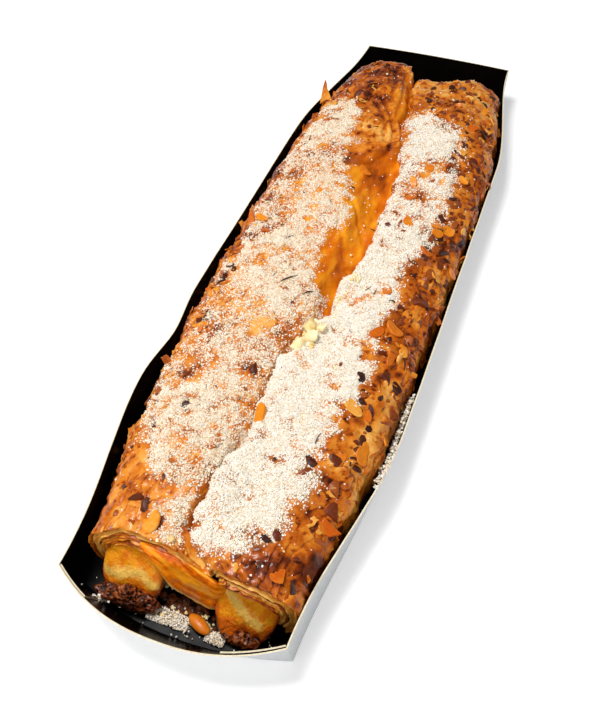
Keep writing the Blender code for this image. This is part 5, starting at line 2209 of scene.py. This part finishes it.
@dataclass
class CardTray:
    """Folded card tray: black gloss inside, silver outside, cream cut edges, with two glued corner tabs."""

    columns_side: int = 150
    columns_end: int = 60
    levels: int = 14
    finishes: tuple[CardFinish, ...] = tuple(CardFinish(face.value, face) for face in CardFace)

    def build(self) -> list[Piece]:
        """Models the tray and its tabs."""
        return [self._shell(), self._tab("tray_tab_left", -1, -31.0), self._tab("tray_tab_right", 1, 25.0)]

    def _outline(self, z: float, inward: float) -> Array:
        """Outline of the wall at a height, moved inwards, anticlockwise from the front left corner.

        Args:
            z: The height.
            inward: How far inwards.

        Returns:
            Places across and along.
        """
        half = TRAY.end_half_width
        x_front = np.linspace(-half, half, self.columns_end, endpoint=False)
        front = np.stack([x_front, TRAY.front(x_front, z)], 1)
        y0, y1 = float(TRAY.front(np.array(half), z)), float(TRAY.back(np.array(half), z))
        y_right = np.linspace(y0, y1, self.columns_side, endpoint=False)
        right = np.stack([TRAY.half_width(1.0, y_right, np.full_like(y_right, z)), y_right], 1)
        back = np.stack([-x_front, TRAY.back(-x_front, z)], 1)
        y_left = y_right[::-1] + (y1 - y0) / self.columns_side
        left = np.stack([-TRAY.half_width(-1.0, y_left, np.full_like(y_left, z)), y_left], 1)
        outline = np.concatenate([front, right, back, left])
        before, after = np.roll(outline, 1, 0), np.roll(outline, -1, 0)
        normal_in, normal_out = self._inwards(outline - before), self._inwards(after - outline)
        corner = normal_in + normal_out
        corner /= np.linalg.norm(corner, axis=1, keepdims=True)
        reach = inward / np.maximum((corner * normal_in).sum(1), 0.4)
        return outline + corner * reach[:, None]

    def _inwards(self, edges: Array) -> Array:
        """Unit vectors to the left of each stretch of an outline."""
        edges = edges / np.maximum(np.linalg.norm(edges, axis=1, keepdims=True), 1e-6)
        return np.stack([-edges[:, 1], edges[:, 0]], 1)

    def _shell(self) -> Piece:
        """Walls and floor as one closed body."""
        rings = [self._ring(z, 0.0) for z in np.linspace(0.0, TRAY.height, self.levels)]
        rings += [self._ring(z, TRAY.card) for z in np.linspace(TRAY.height, TRAY.card, self.levels)]
        inner_floor = rings[-1]
        middle = inner_floor.mean(0)
        for share in (0.9, 0.6, 0.3):
            ring = inner_floor.copy()
            ring[:, 0] = middle[0] + (ring[:, 0] - middle[0]) * share
            ring[:, 1] = middle[1] + (ring[:, 1] - middle[1]) * (share * 0.3 + 0.7)
            rings.append(ring)
        points = np.array(rings)
        piece = tube_piece("folded_card_tray", points, (points[0].mean(0), points[-1].mean(0)))
        for face in piece.data.polygons:
            face.material_index = self._card_face(face.center, face.normal).index
        shade_smooth(piece, 35)
        return settle(piece, self.finishes, ("card_tray",))

    def _ring(self, z: float, inward: float) -> Array:
        """Ring of the wall with the card's slight waves.

        Args:
            z: The height.
            inward: How far inwards the outline lies.

        Returns:
            The ring's points.
        """
        outline = self._outline(float(z), inward)
        ring = np.concatenate([outline, np.full((len(outline), 1), z)], 1)
        place = ring.copy()
        place[:, 2] *= 0.4
        wave = 0.35 * rough(place, 34.0, 101, 2) * ease(np.array(z / 10.0))
        off_corners = ease((TRAY.half_length - 8 - np.abs(ring[:, 1])) / 20)
        ring[:, 0] -= np.sign(ring[:, 0]) * np.abs(wave) * off_corners
        return ring

    def _card_face(self, centre: Vector, normal: Vector) -> CardFace:
        """Which face of the card a polygon of the shell belongs to.

        Args:
            centre: The polygon's middle, in metres.
            normal: Its normal.

        Returns:
            The face.
        """
        level = abs(normal.z) > 0.8
        if level and centre.z > (TRAY.height - 0.02) * MM:
            return CardFace.EDGE
        if centre.z < 0.2 * MM:
            return CardFace.OUTSIDE
        axis = 0 if abs(normal.x) > abs(normal.y) else 1
        outer = normal[axis] * centre[axis] > 0 and not level
        return CardFace.OUTSIDE if outer else CardFace.INSIDE

    def _tab(self, name: str, side: int, end: float) -> Piece:
        """Glued tab along the inside of the front wall.

        Args:
            name: The piece's name.
            side: -1 for the left corner, 1 for the right one.
            end: x at which the tab ends.

        Returns:
            The finished tab.
        """
        columns, rows = 40, 10
        start = side * (TRAY.end_half_width - TRAY.card * 1.5)
        x = np.linspace(start, end, columns)
        z = np.linspace(TRAY.card + 0.1, TRAY.height - 0.8, rows)
        grid_x, grid_z = np.meshgrid(x, z)
        grid_y = TRAY.front(grid_x, grid_z) + TRAY.card + 0.9
        grid_y = grid_y - 0.55 * ease((abs(start) - np.abs(grid_x)) / 40)
        piece = card_piece(name, np.stack([grid_x, grid_y, grid_z], -1), TRAY.card, 35, 1.0)
        for face in piece.data.polygons:
            cut_edge = face.normal.z > 0.6 or abs(face.normal.x) > 0.7
            face.material_index = (CardFace.EDGE if cut_edge else CardFace.INSIDE).index
        return settle(piece, self.finishes, ("card_tray",))


# ---- studio


@dataclass
class Studio:
    """Floor, light and camera."""

    camera_at: Triple = (92.166, -298.658, 315.517)
    right: Triple = (0.936, 0.352, -0.016)
    forward: Triple = (-0.238, 0.596, -0.767)
    focal_pixels: float = 824.3
    frame_pixels: int = 713

    def build(self) -> None:
        """Sets up everything that isn't part of the object."""
        self._floor()
        self._lights()
        self._camera()

    def _floor(self) -> None:
        """Wide pale floor."""
        deselect_all()
        bpy.ops.mesh.primitive_plane_add(size=6.0, location=(0, 0, 0))
        floor = named("floor")
        floor.location.z = -0.2 * MM
        floor.data.materials.append(FloorFinish().material())

    def _lights(self) -> None:
        """Pale surroundings and large soft lamps."""
        world = bpy.data.worlds.new("studio_world")
        world.use_nodes = True
        background = world.node_tree.nodes["Background"]
        background.inputs["Color"].default_value = (1.0, 0.985, 0.96, 1.0)
        background.inputs["Strength"].default_value = 0.2
        bpy.context.scene.world = world
        self._lamp("key_lamp", (-0.22, -0.1, 0.8), 0.28, 6.2)
        self._lamp("front_lamp", (0.1, -0.75, 0.55), 0.9, 3.6)

    def _lamp(self, name: str, place: Triple, size: float, power: float) -> None:
        """Square area lamp aimed at the bar.

        Args:
            name: The lamp's name.
            place: Where it stands, in metres.
            size: Its side.
            power: Its watts.
        """
        data = bpy.data.lights.new(name, "AREA")
        data.energy = power
        data.size = size
        lamp = bpy.data.objects.new(name, data)
        bpy.context.scene.collection.objects.link(lamp)
        lamp.location = place
        lamp.rotation_euler = (-Vector(place)).to_track_quat("-Z", "Y").to_euler()

    def _camera(self) -> None:
        """Camera that looks down along the bar from its open front end."""
        forward = Vector(self.forward).normalized()
        right = Vector(self.right)
        right = (right - forward * right.dot(forward)).normalized()
        up = right.cross(forward)
        data = bpy.data.cameras.new("camera")
        data.sensor_width = 36.0
        data.lens = self.focal_pixels * data.sensor_width / self.frame_pixels
        data.clip_start = 0.01
        camera = bpy.data.objects.new("camera", data)
        pose = Matrix((right, up, -forward)).transposed().to_4x4()
        pose.translation = Vector(self.camera_at) * MM
        camera.matrix_world = pose
        bpy.context.scene.collection.objects.link(camera)
        bpy.context.scene.camera = camera
        bpy.context.scene.view_settings.view_transform = "Standard"


# ---- whole


def corners(box: tuple[Vector, Vector]) -> list[list[float]]:
    """A box as plain lists."""
    return [list(corner) for corner in box]


def main() -> None:
    """Builds every piece in order."""
    logging.basicConfig(level=logging.INFO, format="%(message)s")
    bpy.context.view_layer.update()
    Studio().build()
    tray = CardTray().build()
    flaps = [Flap(Side.LEFT, (-22.0, 17.0)).build(), Flap(Side.RIGHT, (26.0, 17.0)).build()]
    surface = Surface(flaps, tray[0])
    FrontLayers().build()
    left_band = ((-35.0, 13.0), (-27.0, 15.0), (-18.0, 17.0), (-8.0, 12.0))
    right_band = ((15.0, 22.0), (23.0, 17.0), (32.0, 12.0))
    Custard(Side.LEFT, (-22.2, 16.9), (13.1, 14.9), (-190.6, 154.0), left_band).build()
    Custard(Side.RIGHT, (25.6, 16.9), (12.8, 15.0), (-189.6, 158.0), right_band).build()
    DrawnStrip().build()
    RimFlake().build()
    holes = ((-25.0, -193.0, 8.5, 3.4), (-31.0, -192.0, 7.0, 2.6))
    BurntLeak("leaked_custard_left", (-22.5, -196.4), (12.8, 4.0, 12.0), holes, math.radians(6)).build()
    BurntLeak("leaked_custard_right", (25.5, -195.2), (6.5, 3.9, 6.5)).build()
    BurntLeak("loose_almond", (8.2, -195.6), (5.6, 2.7, 3.8), (), math.radians(-24), False, 1.0).build()
    for seed, topping in enumerate(toppings(), TOPPING_SEED):
        topping.build(surface, seed)
    SugarGrains(flaps).build()


if __name__ == "__main__":
    main()
